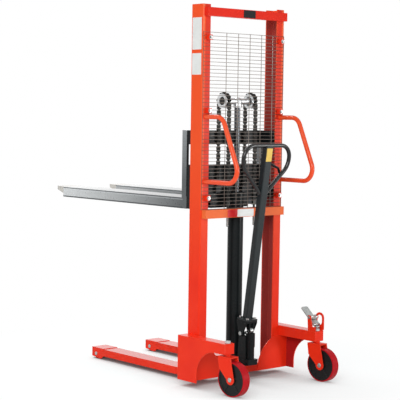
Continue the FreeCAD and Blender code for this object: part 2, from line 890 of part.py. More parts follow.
def tiller_bolts():
    top = plate_height + 2 * plate_thick
    pieces = []
    for place in bolt_places():
        shank = upright(bolt_radius, place.x, place.y, (plate_height, top))
        head = hexagon(bolt_head_radius, V(place.x, place.y, top), V(0, 0, bolt_head))
        pieces.append(fuse([shank, head]))
    eye_y, eye_z = unlean(-pump_back, pump_roller_z)
    arm_out = pump_roller_width / 2 + side_play + roller_arm_thick
    pieces.append(across(pump_roller_pin_radius, (-arm_out, arm_out), eye_y, eye_z))
    lever_z = tiller_length - lever_drop
    front = shaft_depth / 2
    pin_end = front + touch_gap + lever_hub + touch_gap
    shank = rod(lever_pin_radius, V(0, front, lever_z), V(0, pin_end, lever_z))
    head = rod(2 * lever_pin_radius, V(0, pin_end, lever_z), V(0, pin_end + pin_head, lever_z))
    pieces.append(fuse([shank, head]))
    return leaned(Part.makeCompound(pieces))


def loop_path():
    bottom = tiller_length - loop_height
    side = tiller_length - loop_drop
    inner = loop_half - (loop_height - loop_drop)
    points = [V(inner, 0, bottom), V(loop_half, 0, side), V(loop_half, 0, tiller_length),
              V(-loop_half, 0, tiller_length), V(-loop_half, 0, side), V(-inner, 0, bottom)]
    return rounded_path(points, [loop_side_bend, loop_top_bend, loop_top_bend, loop_side_bend])


def shaft_block():
    z = (plate_height + 2 * plate_thick, tiller_length)
    block = box((-shaft_width / 2, shaft_width / 2), (-shaft_depth / 2, shaft_depth / 2), z)
    return block.makeFillet(shaft_round, edges_along(block, V(0, 0, 1)))


def tiller_shaft():
    half = plate_side / 2
    low = plate_height + plate_thick
    flange = box((-half, half), (-half, half), (low, low + plate_thick))
    inner = box((shaft_wall - shaft_width / 2, shaft_width / 2 - shaft_wall),
                (shaft_wall - shaft_depth / 2, shaft_depth / 2 - shaft_wall),
                (low + plate_thick, tiller_length + overrun))
    bar = across(loop_radius, (-loop_half, loop_half), 0, tiller_length)
    shaft = shaft_block().cut(inner).cut(bar)
    return leaned(fuse([shaft, flange]).cut(Part.makeCompound(bolt_holes())))


def tiller_loop():
    path = loop_path()
    ring = swept(path, loop_radius).cut(swept(path, loop_radius - loop_wall))
    z = (tiller_length - loop_height - shaft_width, tiller_length - loop_drop)
    shaft_space = box((-shaft_width / 2, shaft_width / 2), (-shaft_depth, shaft_depth), z)
    return leaned(ring.cut(shaft_space))


def release_lever():
    lever_z = tiller_length - lever_drop
    y = shaft_depth / 2 + touch_gap + lever_hub / 2
    hub = rod(lever_hub_radius, V(0, y - lever_hub / 2, lever_z), V(0, y + lever_hub / 2, lever_z))
    elbow = V(lever_reach * lever_elbow_share, y, lever_z - lever_fall * lever_elbow_fall_share)
    path = rounded_path([V(0, y, lever_z), elbow, V(lever_reach, y, lever_z - lever_fall)], [lever_bend])
    bore = rod(lever_pin_radius + run_fit, V(0, y - lever_hub, lever_z), V(0, y + lever_hub, lever_z))
    return leaned(fuse([hub, swept(path, lever_radius)]).cut(bore))


def pump_roller():
    half = pump_roller_width / 2
    roller = across(pump_roller_radius, (-half, half), -pump_back, pump_roller_z)
    wide = (-half - overrun, half + overrun)
    bore = across(pump_roller_pin_radius + run_fit, wide, -pump_back, pump_roller_z)
    return roller.cut(bore)


# Casters are drawn about the kingpin with the wheel straight behind it, then turned and placed
def at_kingpin(shape, side):
    turned = shape.copy()
    turned.rotate(V(0, 0, 0), V(0, 0, 1), caster_turn)
    turned.translate(V(side * kingpin_x, -kingpin_back, 0))
    return turned


def caster_yoke(side):
    inner = wheel_width / 2 + yoke_gap
    outer = inner + yoke_cheek
    low = yoke_top - yoke_plate
    pieces = [box((-outer, outer), (-yoke_rear_reach, yoke_front_reach), (low, yoke_top))]
    pieces.append(upright(race_radius, 0, 0, (low, arm_bottom - race_gap)))
    outline = [(-yoke_rear_reach, low), (yoke_front_reach, low),
               (yoke_front_reach - yoke_skirt_set, low - yoke_skirt),
               (yoke_eye_radius - caster_trail, wheel_radius),
               (-yoke_eye_radius - caster_trail, wheel_radius)]
    for x in ((-outer, -inner), (inner, outer)):
        pieces.append(plate_yz(outline, x))
        pieces.append(across(yoke_eye_radius, x, -caster_trail, wheel_radius))
    nut_low = base_top + side_play
    pieces.append(upright(kingpin_radius, 0, 0, (low, nut_low + kingpin_nut)))
    pieces.append(upright(kingpin_nut_radius, 0, 0, (nut_low, nut_low + kingpin_nut)))
    body = fuse(pieces)
    bore = across(wheel_axle_radius, (-outer - overrun, outer + overrun), -caster_trail, wheel_radius)
    body = body.cut(bore)
    if side > 0:
        rod_hole_z = (low - overrun, nut_low + kingpin_nut + overrun)
        body = body.cut(upright(brake_rod_radius + brake_rod_play, 0, 0, rod_hole_z))
    axle = across(wheel_axle_radius, (-outer, outer), -caster_trail, wheel_radius)
    heads = [hexagon(axle_head_radius, V(s * outer, -caster_trail, wheel_radius), V(s * axle_head, 0, 0))
             for s in (-1, 1)]
    return at_kingpin(Part.makeCompound([body, fuse([axle] + heads)]), side)


def wheel_core(side):
    half = wheel_width / 2 - core_inset
    rim_radius = wheel_radius - tread_thick
    y = -caster_trail
    rim = across(rim_radius, (-half, half), y, wheel_radius)
    rim = rim.cut(across(rim_radius - core_rim, (-half - overrun, half + overrun), y, wheel_radius))
    web = across(rim_radius, (-core_web / 2, core_web / 2), y, wheel_radius)
    hub_half = wheel_width / 2
    hub = across(core_hub_radius, (-hub_half, hub_half), y, wheel_radius)
    ribs = []
    for i in range(core_rib_count):
        rib = box((-half, half), (y - core_rib / 2, y + core_rib / 2),
                  (wheel_radius, wheel_radius + rim_radius - core_rim / 2))
        rib.rotate(V(0, y, wheel_radius), V(1, 0, 0), 360 * i / core_rib_count)
        ribs.append(rib)
    bore = across(wheel_axle_radius + run_fit, (-wheel_width, wheel_width), y, wheel_radius)
    return at_kingpin(fuse([rim, web, hub] + ribs).cut(bore), side)


def wheel_tread(side):
    half = wheel_width / 2
    y = -caster_trail
    ring = across(wheel_radius, (-half, half), y, wheel_radius)
    ring = ring.makeFillet(tread_round, [e for e in ring.Edges if e.Curve.TypeId == "Part::GeomCircle"])
    bore = across(wheel_radius - tread_thick, (-half - overrun, half + overrun), y, wheel_radius)
    return at_kingpin(ring.cut(bore), side)


# Foot brake on the right arm: a low and a looped cheek carry the pedal, whose rounded end presses the rod
def pinned_cheek(plate, x):
    boss = across(brake_boss_radius, x, -brake_pin_back, brake_pin_z)
    bore = across(brake_pin_radius + run_fit, (x[0] - overrun, x[1] + overrun), -brake_pin_back, brake_pin_z)
    return fuse([plate, boss]).cut(bore)


def low_cheek(x):
    top = base_top + low_cheek_rise
    outline = [(-arm_reach, base_top), (guard_eye_radius - guard_eye_back, base_top),
               (brake_boss_radius - brake_pin_back, brake_pin_z),
               (-brake_boss_radius - brake_pin_back, brake_pin_z),
               (-2 * brake_boss_radius - brake_pin_back, top), (-arm_reach, top)]
    return pinned_cheek(plate_yz(outline, x), x)


def looped_cheek(x):
    front = guard_eye_radius - guard_eye_back
    rear = -guard_eye_radius - guard_eye_back
    outline = [(-arm_reach, base_top), (front, base_top), (front, guard_eye_z), (rear, guard_eye_z),
               (rear, base_top - arm_reach - rear)]
    wide = (x[0] - overrun, x[1] + overrun)
    plate = fuse([plate_yz(outline, x), across(guard_eye_radius, x, -guard_eye_back, guard_eye_z)])
    window = fuse([across(guard_window_radius, wide, -guard_eye_back, guard_window_low),
                   across(guard_window_radius, wide, -guard_eye_back, guard_eye_z),
                   box(wide, (-guard_window_radius - guard_eye_back, guard_window_radius - guard_eye_back),
                       (guard_window_low, guard_eye_z))])
    return pinned_cheek(plate.cut(window), x)


def brake_bracket():
    inner = kingpin_x - brake_half
    outer = kingpin_x + brake_half
    low = low_cheek((inner, inner + brake_cheek))
    return Part.makeCompound([low, looped_cheek((outer - brake_cheek, outer))])


def pedal_nose():
    middle = V(0, -pedal_rear, -pedal_under - pedal_thick / 2)
    return FreeCAD.Rotation(V(1, 0, 0), pedal_angle).multVec(middle)


def brake_pedal():
    half = brake_half - brake_cheek - pedal_side_gap
    x = (kingpin_x - half, kingpin_x + half)
    pin = V(0, -brake_pin_back, brake_pin_z)
    top = brake_pin_z - pedal_under
    foot = box(x, (pin.y - pedal_rear, pin.y + pedal_front), (top - pedal_thick, top))
    front_edges = [e for e in edges_along(foot, V(0, 0, 1)) if e.CenterOfMass.y > pin.y]
    foot = foot.makeFillet(pedal_round, front_edges)
    foot.rotate(pin, V(1, 0, 0), pedal_angle)
    nose = pin + pedal_nose()
    hub = across(brake_boss_radius, x, pin.y, pin.z)
    bore = across(brake_pin_radius + run_fit, (x[0] - overrun, x[1] + overrun), pin.y, pin.z)
    return fuse([foot, hub, across(pedal_nose_radius, x, nose.y, nose.z)]).cut(bore)


def brake_rod():
    nearest = caster_trail - brake_foot_radius
    foot_z = wheel_radius + math.sqrt(wheel_radius ** 2 - nearest ** 2) + brake_stroke + brake_gap
    cap_top = brake_pin_z + pedal_nose().z - pedal_nose_radius - touch_gap
    x = kingpin_x
    y = -kingpin_back
    return fuse([upright(brake_rod_radius, x, y, (foot_z, cap_top)),
                 upright(brake_foot_radius, x, y, (foot_z, foot_z + brake_foot_height)),
                 upright(brake_cap_radius, x, y, (cap_top - brake_cap, cap_top))])


def pivot_pins():
    load_x = (leg_outer - leg_width, leg_outer)
    rocker_half = lug_inner + lug_thick + side_play + cheek_thick
    brake_x = (kingpin_x - brake_half, kingpin_x + brake_half)
    load_axle = headed_pin(load_axle_radius, load_x, load_y, load_radius)
    rocker_pin = headed_pin(rocker_pin_radius, (-rocker_half, rocker_half), -rocker_back, rocker_z)
    brake_pin = headed_pin(brake_pin_radius, brake_x, -brake_pin_back, brake_pin_z)
    return Part.makeCompound([mirrored(load_axle), load_axle, rocker_pin, brake_pin])


rear_y = lift_y - chain_radius
front_y = lift_y + chain_radius
sides = ((-1, "left"), (1, "right"))

os.makedirs("parts", exist_ok=True)

for side, word in sides:
    save("mast_column_" + word, on_side(mast_column(), side))
    save("leg_" + word, on_side(leg(), side))
    save("load_roller_" + word, on_side(load_roller(), side))
    save("pulley_" + word, on_side(pulley(), side))
    save("fork_" + word, on_side(fork(), side))
    save("caster_yoke_" + word, caster_yoke(side))
    save("wheel_core_" + word, wheel_core(side))
    save("wheel_tread_" + word, wheel_tread(side))
    save("upper_roller_" + word, carriage_roller(side, upper_roller_z))
    save("lower_roller_" + word, carriage_roller(side, lower_roller_z))

save("top_crossbar", crossbar(mast_height - top_bar_drop))
save("middle_crossbar", middle_crossbar())
save("guard_net", guard_net())
save("guard_clamps", Part.makeCompound([guard_clamp(p) for p in clamp_places()]))
save("guard_bolts", Part.makeCompound([guard_bolt(p) for p in clamp_places()]))
save("hand_grips", pair(hand_grip()))
save("base_beam", base_beam())
save("side_plates", pair(side_plate()))
save("caster_arms", pair(caster_arm()))
save("wheel_arches", pair(wheel_arch()))
save("kingpin_bushes", pair(kingpin_bush()))
save("lift_cylinder", lift_cylinder())
save("cylinder_gland", cylinder_gland())
save("cylinder_clamp", cylinder_clamp())
save("ram_rod", ram_rod())
save("crosshead", crosshead())
save("pulley_axle", pulley_axle())
save("chain_wraps", Part.makeCompound([chain_wrap(s) for s, word in sides]))
save("chain_rear", Part.makeCompound([chain_strand(s, rear_y, axle_z, rear_link_count) for s, word in sides]))
save("chain_front", Part.makeCompound([chain_strand(s, front_y, axle_z, front_link_count)
                                       for s, word in sides]))
save("rear_anchors", Part.makeCompound([rear_anchor(s) for s, word in sides]))
save("carriage_top_bar", hollow_bar((carriage_top - top_bar_height, carriage_top)))
save("carriage_lower_plate", lower_plate())
save("hanger_plates", pair(hanger_plate()))
save("roller_brackets", Part.makeCompound([roller_bracket(s, z) for s, word in sides
                                           for z in (upper_roller_z, lower_roller_z)]))
save("pump_block", pump_block())
save("pump_barrel", pump_barrel())
save("pump_plunger", pump_plunger())
save("pivot_lugs", pair(pivot_lug()))
save("pivot_pins", pivot_pins())
save("rocker", rocker())
save("tiller_shaft", tiller_shaft())
save("tiller_loop", tiller_loop())
save("tiller_bolts", tiller_bolts())
save("release_lever", release_lever())
save("pump_roller", pump_roller())
save("brake_bracket", brake_bracket())
save("brake_pedal", brake_pedal())
save("brake_rod", brake_rod())
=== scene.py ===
import bmesh
import bpy
import json
import math
from mathutils import Matrix, Vector


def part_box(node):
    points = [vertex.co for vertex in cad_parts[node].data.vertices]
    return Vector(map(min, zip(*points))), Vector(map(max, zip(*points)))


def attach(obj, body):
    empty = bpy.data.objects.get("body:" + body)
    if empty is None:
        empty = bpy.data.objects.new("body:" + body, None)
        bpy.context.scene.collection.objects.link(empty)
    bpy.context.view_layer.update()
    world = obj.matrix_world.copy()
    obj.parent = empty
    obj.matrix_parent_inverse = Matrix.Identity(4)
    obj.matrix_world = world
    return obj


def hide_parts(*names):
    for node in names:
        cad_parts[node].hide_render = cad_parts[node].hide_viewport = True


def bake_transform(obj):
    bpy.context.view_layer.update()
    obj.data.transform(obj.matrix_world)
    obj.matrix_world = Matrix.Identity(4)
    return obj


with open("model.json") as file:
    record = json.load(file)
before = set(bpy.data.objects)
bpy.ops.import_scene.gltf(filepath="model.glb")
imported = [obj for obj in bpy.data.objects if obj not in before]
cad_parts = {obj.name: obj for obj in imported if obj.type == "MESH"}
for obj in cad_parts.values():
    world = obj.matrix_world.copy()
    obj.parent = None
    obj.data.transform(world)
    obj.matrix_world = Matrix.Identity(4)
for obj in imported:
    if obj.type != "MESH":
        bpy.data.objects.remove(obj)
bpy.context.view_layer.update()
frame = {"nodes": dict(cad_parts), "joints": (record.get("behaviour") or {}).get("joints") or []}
nodes = frame["nodes"]
mm = 0.001
# Depth of a painted zone to each side of its face
skin = 1.0 * mm
whiteLight = (1.0, 1.0, 1.0, 1.0)
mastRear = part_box("mast_column_left")[0].y
print("frame loaded")


# A place in millimetres from the middle plane, the rear of the mast and the floor
def at(x, y, z):
    return Vector((x * mm, mastRear + y * mm, z * mm))


# Six-digit screen colour turned into the renderer's linear colour
def colour(hexText):
    shares = [int(hexText[i:i + 2], 16) / 255 for i in (0, 2, 4)]
    linear = [s / 12.92 if s <= 0.04045 else ((s + 0.055) / 1.055) ** 2.4 for s in shares]
    return (*linear, 1.0)


def jointNamed(name):
    return next(joint for joint in frame["joints"] if joint["name"] == name)


def add(tree, kind, inputs=None, **settings):
    node = tree.nodes.new(kind)
    for key, value in settings.items():
        setattr(node, key, value)
    for key, value in (inputs or {}).items():
        if isinstance(value, bpy.types.NodeSocket):
            tree.links.new(value, node.inputs[key])
        else:
            node.inputs[key].default_value = value
    return node


def maths(tree, operation, first, second=0.0):
    return add(tree, "ShaderNodeMath", {0: first, 1: second}, operation=operation).outputs["Value"]


def newMaterial(name):
    material = bpy.data.materials.new(name)
    material.use_nodes = True
    material.node_tree.nodes.clear()
    return material, material.node_tree


def mixColour(tree, share, first, second):
    node = add(tree, "ShaderNodeMix", {0: share, 6: first, 7: second}, data_type="RGBA")
    return node.outputs[2]


def spread(tree, value, low, high, fromLow=0.0, fromHigh=1.0):
    node = add(tree, "ShaderNodeMapRange", {
        "Value": value, "From Min": fromLow, "From Max": fromHigh, "To Min": low, "To Max": high})
    return node.outputs["Result"]


def noise(tree, coords, sizeMm, detail=2.0, stretch=(1.0, 1.0, 1.0)):
    mapped = add(tree, "ShaderNodeMapping", {"Vector": coords, "Scale": stretch})
    node = add(tree, "ShaderNodeTexNoise", {
        "Vector": mapped.outputs["Vector"], "Scale": 1 / (sizeMm * mm), "Detail": detail})
    return node.outputs["Fac"]


# Where the rounded normal leaves the flat one, between two cosines
def edgeMask(tree, bevel, broken, sharp=0.80, flat=0.985):
    normal = add(tree, "ShaderNodeNewGeometry").outputs["Normal"]
    facing = add(tree, "ShaderNodeVectorMath", {0: bevel, 1: normal}, operation="DOT_PRODUCT")
    edge = spread(tree, facing.outputs["Value"], 1.0, 0.0, sharp, flat)
    return maths(tree, "MULTIPLY", edge, broken)


# The zone's share inside a box that is mirrored at the middle plane, zero outside
def boxMask(tree, coords, zone):
    axes = add(tree, "ShaderNodeSeparateXYZ", {"Vector": coords}).outputs
    aside = maths(tree, "ABSOLUTE", axes["X"])
    mask = zone.get("share", 1.0)
    for value, low, high in zip((aside, axes["Y"], axes["Z"]), zone["low"], zone["high"]):
        above = maths(tree, "GREATER_THAN", value, low)
        below = maths(tree, "LESS_THAN", value, high)
        mask = maths(tree, "MULTIPLY", mask, maths(tree, "MULTIPLY", above, below))
    return mask


def rounded(tree, radiusMm, samples=6):
    return add(tree, "ShaderNodeBevel", {"Radius": radiusMm * mm}, samples=samples).outputs["Normal"]


def finishMaterial(material, tree, shader):
    add(tree, "ShaderNodeOutputMaterial", {"Surface": shader.outputs["BSDF"]})
    return material


# Coated surfaces: broad tone shifts, fine orange peel, rounded edges painted paler, partly as wear and
# partly as painted highlight
coatSpec = {
    "patchDetail": 4.0, "speckDetail": 3.0, "peelDetail": 1.0, "middle": (0.3, 0.7),
    "wornAndLit": (0.35, 0.65), "smoother": 0.04, "rougher": 0.05, "bumpShare": 0.1, "upward": (0.6, 0.9),
    "polishRough": 0.16, "polishIor": 1.8, "gloss": 0.5}


def coated(name, s):
    material, tree = newMaterial(name)
    coords = add(tree, "ShaderNodeTexCoord").outputs["Object"]
    patches = noise(tree, coords, s["patchMm"], coatSpec["patchDetail"])
    specks = noise(tree, coords, s["speckMm"], coatSpec["speckDetail"])
    bevel = rounded(tree, s["edgeMm"])
    shaded = spread(tree, patches, 0.0, 1.0, *coatSpec["middle"])
    tone = mixColour(tree, shaded, colour(s["base"]), colour(s["shade"]))
    for fade in s.get("fades", []):
        along = add(tree, "ShaderNodeSeparateXYZ", {"Vector": coords}).outputs[fade["axis"]]
        reached = spread(tree, along, 0.0, 1.0, fade["start"], fade["end"])
        tone = mixColour(tree, reached, tone, colour(fade["colour"]))
    for zone in s.get("zones", []):
        tone = mixColour(tree, boxMask(tree, coords, zone), tone, colour(zone["colour"]))
    # Painted highlight and wear: the edge colour laid over the rounded edges
    edgeWearAndSheen = edgeMask(tree, bevel, spread(tree, specks, 0.0, s["rubAndSheen"], *coatSpec["wornAndLit"]))
    tone = mixColour(tree, edgeWearAndSheen, tone, colour(s["edge"]))
    rough = spread(tree, specks, s["rough"] - coatSpec["smoother"], s["rough"] + coatSpec["rougher"],
                   *coatSpec["middle"])
    peel = noise(tree, coords, s["peelMm"], coatSpec["peelDetail"])
    bump = add(tree, "ShaderNodeBump", {
        "Height": peel, "Strength": s["bump"], "Distance": s["peelMm"] * mm * coatSpec["bumpShare"],
        "Normal": bevel})
    polish = 0.0
    if "topCoat" in s:
        facing = add(tree, "ShaderNodeNewGeometry").outputs["Normal"]
        upward = add(tree, "ShaderNodeSeparateXYZ", {"Vector": facing}).outputs["Z"]
        polish = spread(tree, upward, 0.0, s["topCoat"], *coatSpec["upward"])
    shader = add(tree, "ShaderNodeBsdfPrincipled", {
        "Base Color": tone, "Roughness": rough, "Normal": bump.outputs["Normal"],
        "Metallic": s.get("metal", 0.0), "Specular IOR Level": s.get("gloss", coatSpec["gloss"]),
        "Coat Weight": polish, "Coat Roughness": coatSpec["polishRough"],
        "Coat IOR": coatSpec["polishIor"]})
    return finishMaterial(material, tree, shader)


# Bare metals: brushing drawn out along one axis, faint stains
bareSpec = {"stainDetail": 4.0, "brushDetail": 2.0, "stained": (0.35, 0.65), "middle": (0.3, 0.7),
            "roughSpan": 0.07, "bumpShare": 0.05}


def bareMetal(name, s):
    material, tree = newMaterial(name)
    coords = add(tree, "ShaderNodeTexCoord").outputs["Object"]
    stains = noise(tree, coords, s["stainMm"], bareSpec["stainDetail"])
    brush = noise(tree, coords, s["brushMm"], bareSpec["brushDetail"], s.get("stretch", (1.0, 1.0, 1.0)))
    bevel = rounded(tree, s["edgeMm"])
    shaded = spread(tree, stains, 0.0, 1.0, *bareSpec["stained"])
    tone = mixColour(tree, shaded, colour(s["base"]), colour(s["shade"]))
    for zone in s.get("zones", []):
        tone = mixColour(tree, boxMask(tree, coords, zone), tone, colour(zone["colour"]))
    span = bareSpec["roughSpan"]
    rough = spread(tree, brush, s["rough"] - span, s["rough"] + span, *bareSpec["middle"])
    bump = add(tree, "ShaderNodeBump", {
        "Height": brush, "Strength": s["bump"], "Distance": s["brushMm"] * mm * bareSpec["bumpShare"],
        "Normal": bevel})
    shader = add(tree, "ShaderNodeBsdfPrincipled", {
        "Base Color": tone, "Roughness": rough, "Normal": bump.outputs["Normal"],
        "Metallic": s["metal"]})
    return finishMaterial(material, tree, shader)


# Powder-coated steel of the mast, base and grips; its pale edge colour paints highlights along the edges
redLook = {
    "base": "F03418", "shade": "EA2E17", "edge": "FA9473", "rubAndSheen": 0.7, "patchMm": 160.0, "speckMm": 6.0,
    "peelMm": 1.1, "bump": 0.10, "rough": 0.34, "edgeMm": 2.0, "gloss": 0.11}
redPaint = coated("red_powder_coat", {**redLook, "topCoat": 0.6})
# The same coat on the legs, polished by the pallets that slide over them
legPaint = coated("red_powder_coat_polished", {**redLook, "topCoat": 0.9})
# The same coat on the middle crossbar, more orange
barPaint = coated("red_powder_coat_orange", {**redLook, "base": "F07038", "shade": "EC6833"})
# The same coat on the top crossbar, a shade deeper
topPaint = coated("red_powder_coat_deep", {**redLook, "base": "E62A14", "shade": "E02713"})
# The same coat on the columns: more orange upwards, painted shade inside the channel where the rollers
# run, a deeper inner lip and a painted highlight along the outer corner of the rear face
columnSpec = {"wall": 5.5, "trackLow": 60.0, "trackEnd": 30.0, "lip": 34.0, "corner": 12.0,
              "fadeLow": 550.0, "fadeHigh": 1250.0}
columnLow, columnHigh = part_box("mast_column_right")
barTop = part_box("middle_crossbar")[1].z
wall = columnSpec["wall"] * mm
# Painted shade inside the channel, where the rollers run
channelShadeZone = {
    "low": (columnLow.x - skin, columnLow.y + wall, columnSpec["trackLow"] * mm),
    "high": (columnHigh.x - wall, columnHigh.y - wall, columnHigh.z - columnSpec["trackEnd"] * mm),
    "colour": "A44642", "share": 0.9}
lipZone = {
    "low": (columnLow.x - skin, columnLow.y - skin, barTop),
    "high": (columnLow.x + columnSpec["lip"] * mm, columnLow.y + skin, columnHigh.z),
    "colour": "DA2C1E", "share": 0.8}
# Painted highlight along the outer corner of the rear face
cornerHighlightZone = {
    "low": (columnHigh.x - columnSpec["corner"] * mm, columnLow.y - skin, barTop),
    "high": (columnHigh.x + skin, columnLow.y + skin, columnHigh.z),
    "colour": "F79A78", "share": 0.45}
columnFade = {"axis": "Z", "start": columnSpec["fadeLow"] * mm, "end": columnSpec["fadeHigh"] * mm,
              "colour": "EE5226"}
columnPaint = coated("red_powder_coat_channel_shade", {
    **redLook, "fades": [columnFade], "zones": [channelShadeZone, lipZone, cornerHighlightZone]})
# The same coat on the hand grips, polished by hands
gripPaint = coated("red_powder_coat_handled", {
    **redLook, "fades": [columnFade], "gloss": 0.28, "rough": 0.15})
# The same coat on the caster yokes, with the kingpin nut above the arms left bright
nutSpec = {"inner": 200.0, "outer": 500.0, "back": 500.0, "height": 50.0}
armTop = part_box("caster_arms")[1].z
nutZone = {
    "low": (nutSpec["inner"] * mm, columnLow.y - nutSpec["back"] * mm, armTop),
    "high": (nutSpec["outer"] * mm, columnLow.y, armTop + nutSpec["height"] * mm), "colour": "C3C6C6"}
yokePaint = coated("red_powder_coat_caster", {**redLook, "zones": [nutZone]})
# The same coat on the side plates, with painted shade on their inner faces inside the wheel arches
archShadeSpec = {"inner": 6.5, "outer": 5.5}
plateLow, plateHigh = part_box("side_plates")
# Painted shade on the inner faces of the side plates
archShadeZone = {
    "low": (plateHigh.x - archShadeSpec["inner"] * mm, plateLow.y, 0.0),
    "high": (plateHigh.x - archShadeSpec["outer"] * mm, columnLow.y, armTop),
    "colour": "8E1820", "share": 0.8}
platePaint = coated("red_powder_coat_arch_shade", {**redLook, "topCoat": 0.6, "zones": [archShadeZone]})
# Gloss black enamel of the carriage, cylinder and pump
blackPaint = coated("black_enamel", {
    "base": "101314", "shade": "15191A", "edge": "34383A", "rubAndSheen": 0.5, "patchMm": 120.0, "speckMm": 5.0,
    "peelMm": 1.2, "bump": 0.10, "rough": 0.28, "edgeMm": 1.4, "gloss": 0.12})
# Slate powder coat of the tiller shaft, darker towards the pump
shaftFadeSpec = {"fadeTop": 950.0, "fadeBottom": 350.0}
shaftDarkening = {"axis": "Z", "start": shaftFadeSpec["fadeTop"] * mm, "end": shaftFadeSpec["fadeBottom"] * mm, "colour": "11181A"}
slatePaint = coated("slate_powder_coat", {
    "base": "1C2325", "shade": "22292B", "edge": "4A5052", "rubAndSheen": 0.4, "patchMm": 90.0, "speckMm": 5.0,
    "peelMm": 1.0, "bump": 0.12, "rough": 0.30, "edgeMm": 1.4, "gloss": 0.3, "fades": [shaftDarkening]})
# Black dipped vinyl of the tiller loop
loopVinyl = coated("dipped_vinyl", {
    "base": "0E1011", "shade": "131516", "edge": "26282A", "rubAndSheen": 0.3, "patchMm": 60.0, "speckMm": 4.0,
    "peelMm": 0.8, "bump": 0.05, "rough": 0.13, "edgeMm": 0.8, "gloss": 0.45})
# Grey metallic paint of the forks, slate at the heel, with painted light brightening it towards the tip
# and up the shank, painted shade and highlight lines along the folded edges, painted shade on the inner
# flank and a nose painted pale as a reflection. Each line has its upper and lower edge below the blade's
# top, its colour and its share
foldSpec = {
    "bladeHeight": 58.0, "nose": 104.5, "start": 30.0, "fade": 40.0, "shankFade": 270.0,
    "lines": ((0.5, 7.0, "3C4144", 0.72), (7.0, 12.0, "F0F2F4", 0.25), (50.5, 57.8, "2C3033", 0.9)),
    "flankTop": 0.5}
forkLow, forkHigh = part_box("fork_right")
noseStart = forkHigh.y - foldSpec["nose"] * mm
bladeTop = forkLow.z + foldSpec["bladeHeight"] * mm
lineStart = forkLow.y + foldSpec["start"] * mm
# The nose is painted pale as a reflection
forkPaintedLightZones = [{
    "low": (0.0, noseStart, 0.0), "high": forkHigh + Vector((skin, skin, skin)), "colour": "C6C1BA"}]
# Painted shade along the top and bottom folded edges, with a painted highlight just under the top one
for upper, lower, tint, share in foldSpec["lines"]:
    for x in (forkLow.x, forkHigh.x):
        forkPaintedLightZones.append({
            "low": (x - skin, lineStart, bladeTop - lower * mm),
            "high": (x + skin, noseStart, bladeTop - upper * mm), "colour": tint, "share": share})
# Painted shade over the inner flank
forkPaintedLightZones.append({
    "low": (forkLow.x - skin, lineStart, forkLow.z),
    "high": (forkLow.x + skin, noseStart, bladeTop - foldSpec["flankTop"] * mm),
    "colour": "4A4F52", "share": 0.4})
# Painted light: brighter towards the tip and up the shank
forkPaintedLightFades = [
    {"axis": "Y", "colour": "DADBDC", "start": forkLow.y + foldSpec["fade"] * mm, "end": noseStart},
    {"axis": "Z", "colour": "8B8E90", "start": forkHigh.z - foldSpec["shankFade"] * mm,
     "end": forkHigh.z}]
forkPaint = coated("fork_metallic_paint", {
    "base": "585B5D", "shade": "525557", "edge": "A9ADAF", "rubAndSheen": 0.7, "patchMm": 220.0, "speckMm": 9.0,
    "peelMm": 1.4, "bump": 0.10, "rough": 0.30, "edgeMm": 2.2, "metal": 0.3, "topCoat": 0.5,
    "fades": forkPaintedLightFades, "zones": forkPaintedLightZones})
# Moulded nylon of the wheel cores, with a grey edge colour that paints highlights on its rounded edges
nylon = coated("black_nylon", {
    "base": "0D0E0E", "shade": "131414", "edge": "5A5C5C", "rubAndSheen": 0.6, "patchMm": 40.0, "speckMm": 3.0,
    "peelMm": 0.7, "bump": 0.2, "rough": 0.40, "edgeMm": 1.6, "gloss": 0.22})
# Cast polyurethane of the treads
polyurethane = coated("red_polyurethane", {
    "base": "BE1620", "shade": "B2131D", "edge": "D8484C", "rubAndSheen": 0.3, "patchMm": 30.0, "speckMm": 4.0,
    "peelMm": 1.3, "bump": 0.12, "rough": 0.40, "edgeMm": 1.0, "gloss": 0.08})
# Blank vinyl of the label panels
paleVinyl = coated("pale_vinyl", {
    "base": "E4E4E2", "shade": "DBDBD9", "edge": "CFCFCD", "rubAndSheen": 0.5, "patchMm": 45.0, "speckMm": 3.0,
    "peelMm": 2.0, "bump": 0.05, "rough": 0.35, "edgeMm": 0.2})
yellowVinyl = coated("yellow_vinyl", {
    "base": "EBC24E", "shade": "E3BA49", "edge": "F2D98A", "rubAndSheen": 0.5, "patchMm": 30.0, "speckMm": 3.0,
    "peelMm": 2.0, "bump": 0.05, "rough": 0.35, "edgeMm": 0.2})
blackVinyl = coated("black_plate_plastic", {
    "base": "161718", "shade": "1C1D1E", "edge": "3A3B3C", "rubAndSheen": 0.5, "patchMm": 40.0, "speckMm": 3.0,
    "peelMm": 1.0, "bump": 0.08, "rough": 0.32, "edgeMm": 0.6, "gloss": 0.12})
redVinyl = coated("red_vinyl", {
    "base": "D8141C", "shade": "CF1219", "edge": "E04A45", "rubAndSheen": 0.5, "patchMm": 40.0, "speckMm": 3.0,
    "peelMm": 2.0, "bump": 0.05, "rough": 0.35, "edgeMm": 0.2})
# Zinc-plated fasteners, pedal and pins
zinc = bareMetal("zinc_plate", {
    "base": "B4B7B6", "shade": "9EA19F", "stainMm": 14.0, "brushMm": 1.6, "bump": 0.12, "rough": 0.36,
    "edgeMm": 0.7, "metal": 0.85})
# Galvanised wire of the guard, redder where it lies on the columns
guardLow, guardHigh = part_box("guard_net")
columnTintZone = {
    "low": (columnLow.x, guardLow.y - skin, guardLow.z - skin),
    "high": guardHigh + Vector((skin, skin, skin)), "colour": "A8452C", "share": 0.85}
wireSteel = bareMetal("galvanised_wire", {
    "base": "8A8078", "shade": "7A716A", "stainMm": 25.0, "brushMm": 2.0, "bump": 0.1, "rough": 0.45,
    "edgeMm": 0.2, "metal": 0.3, "zones": [columnTintZone]})
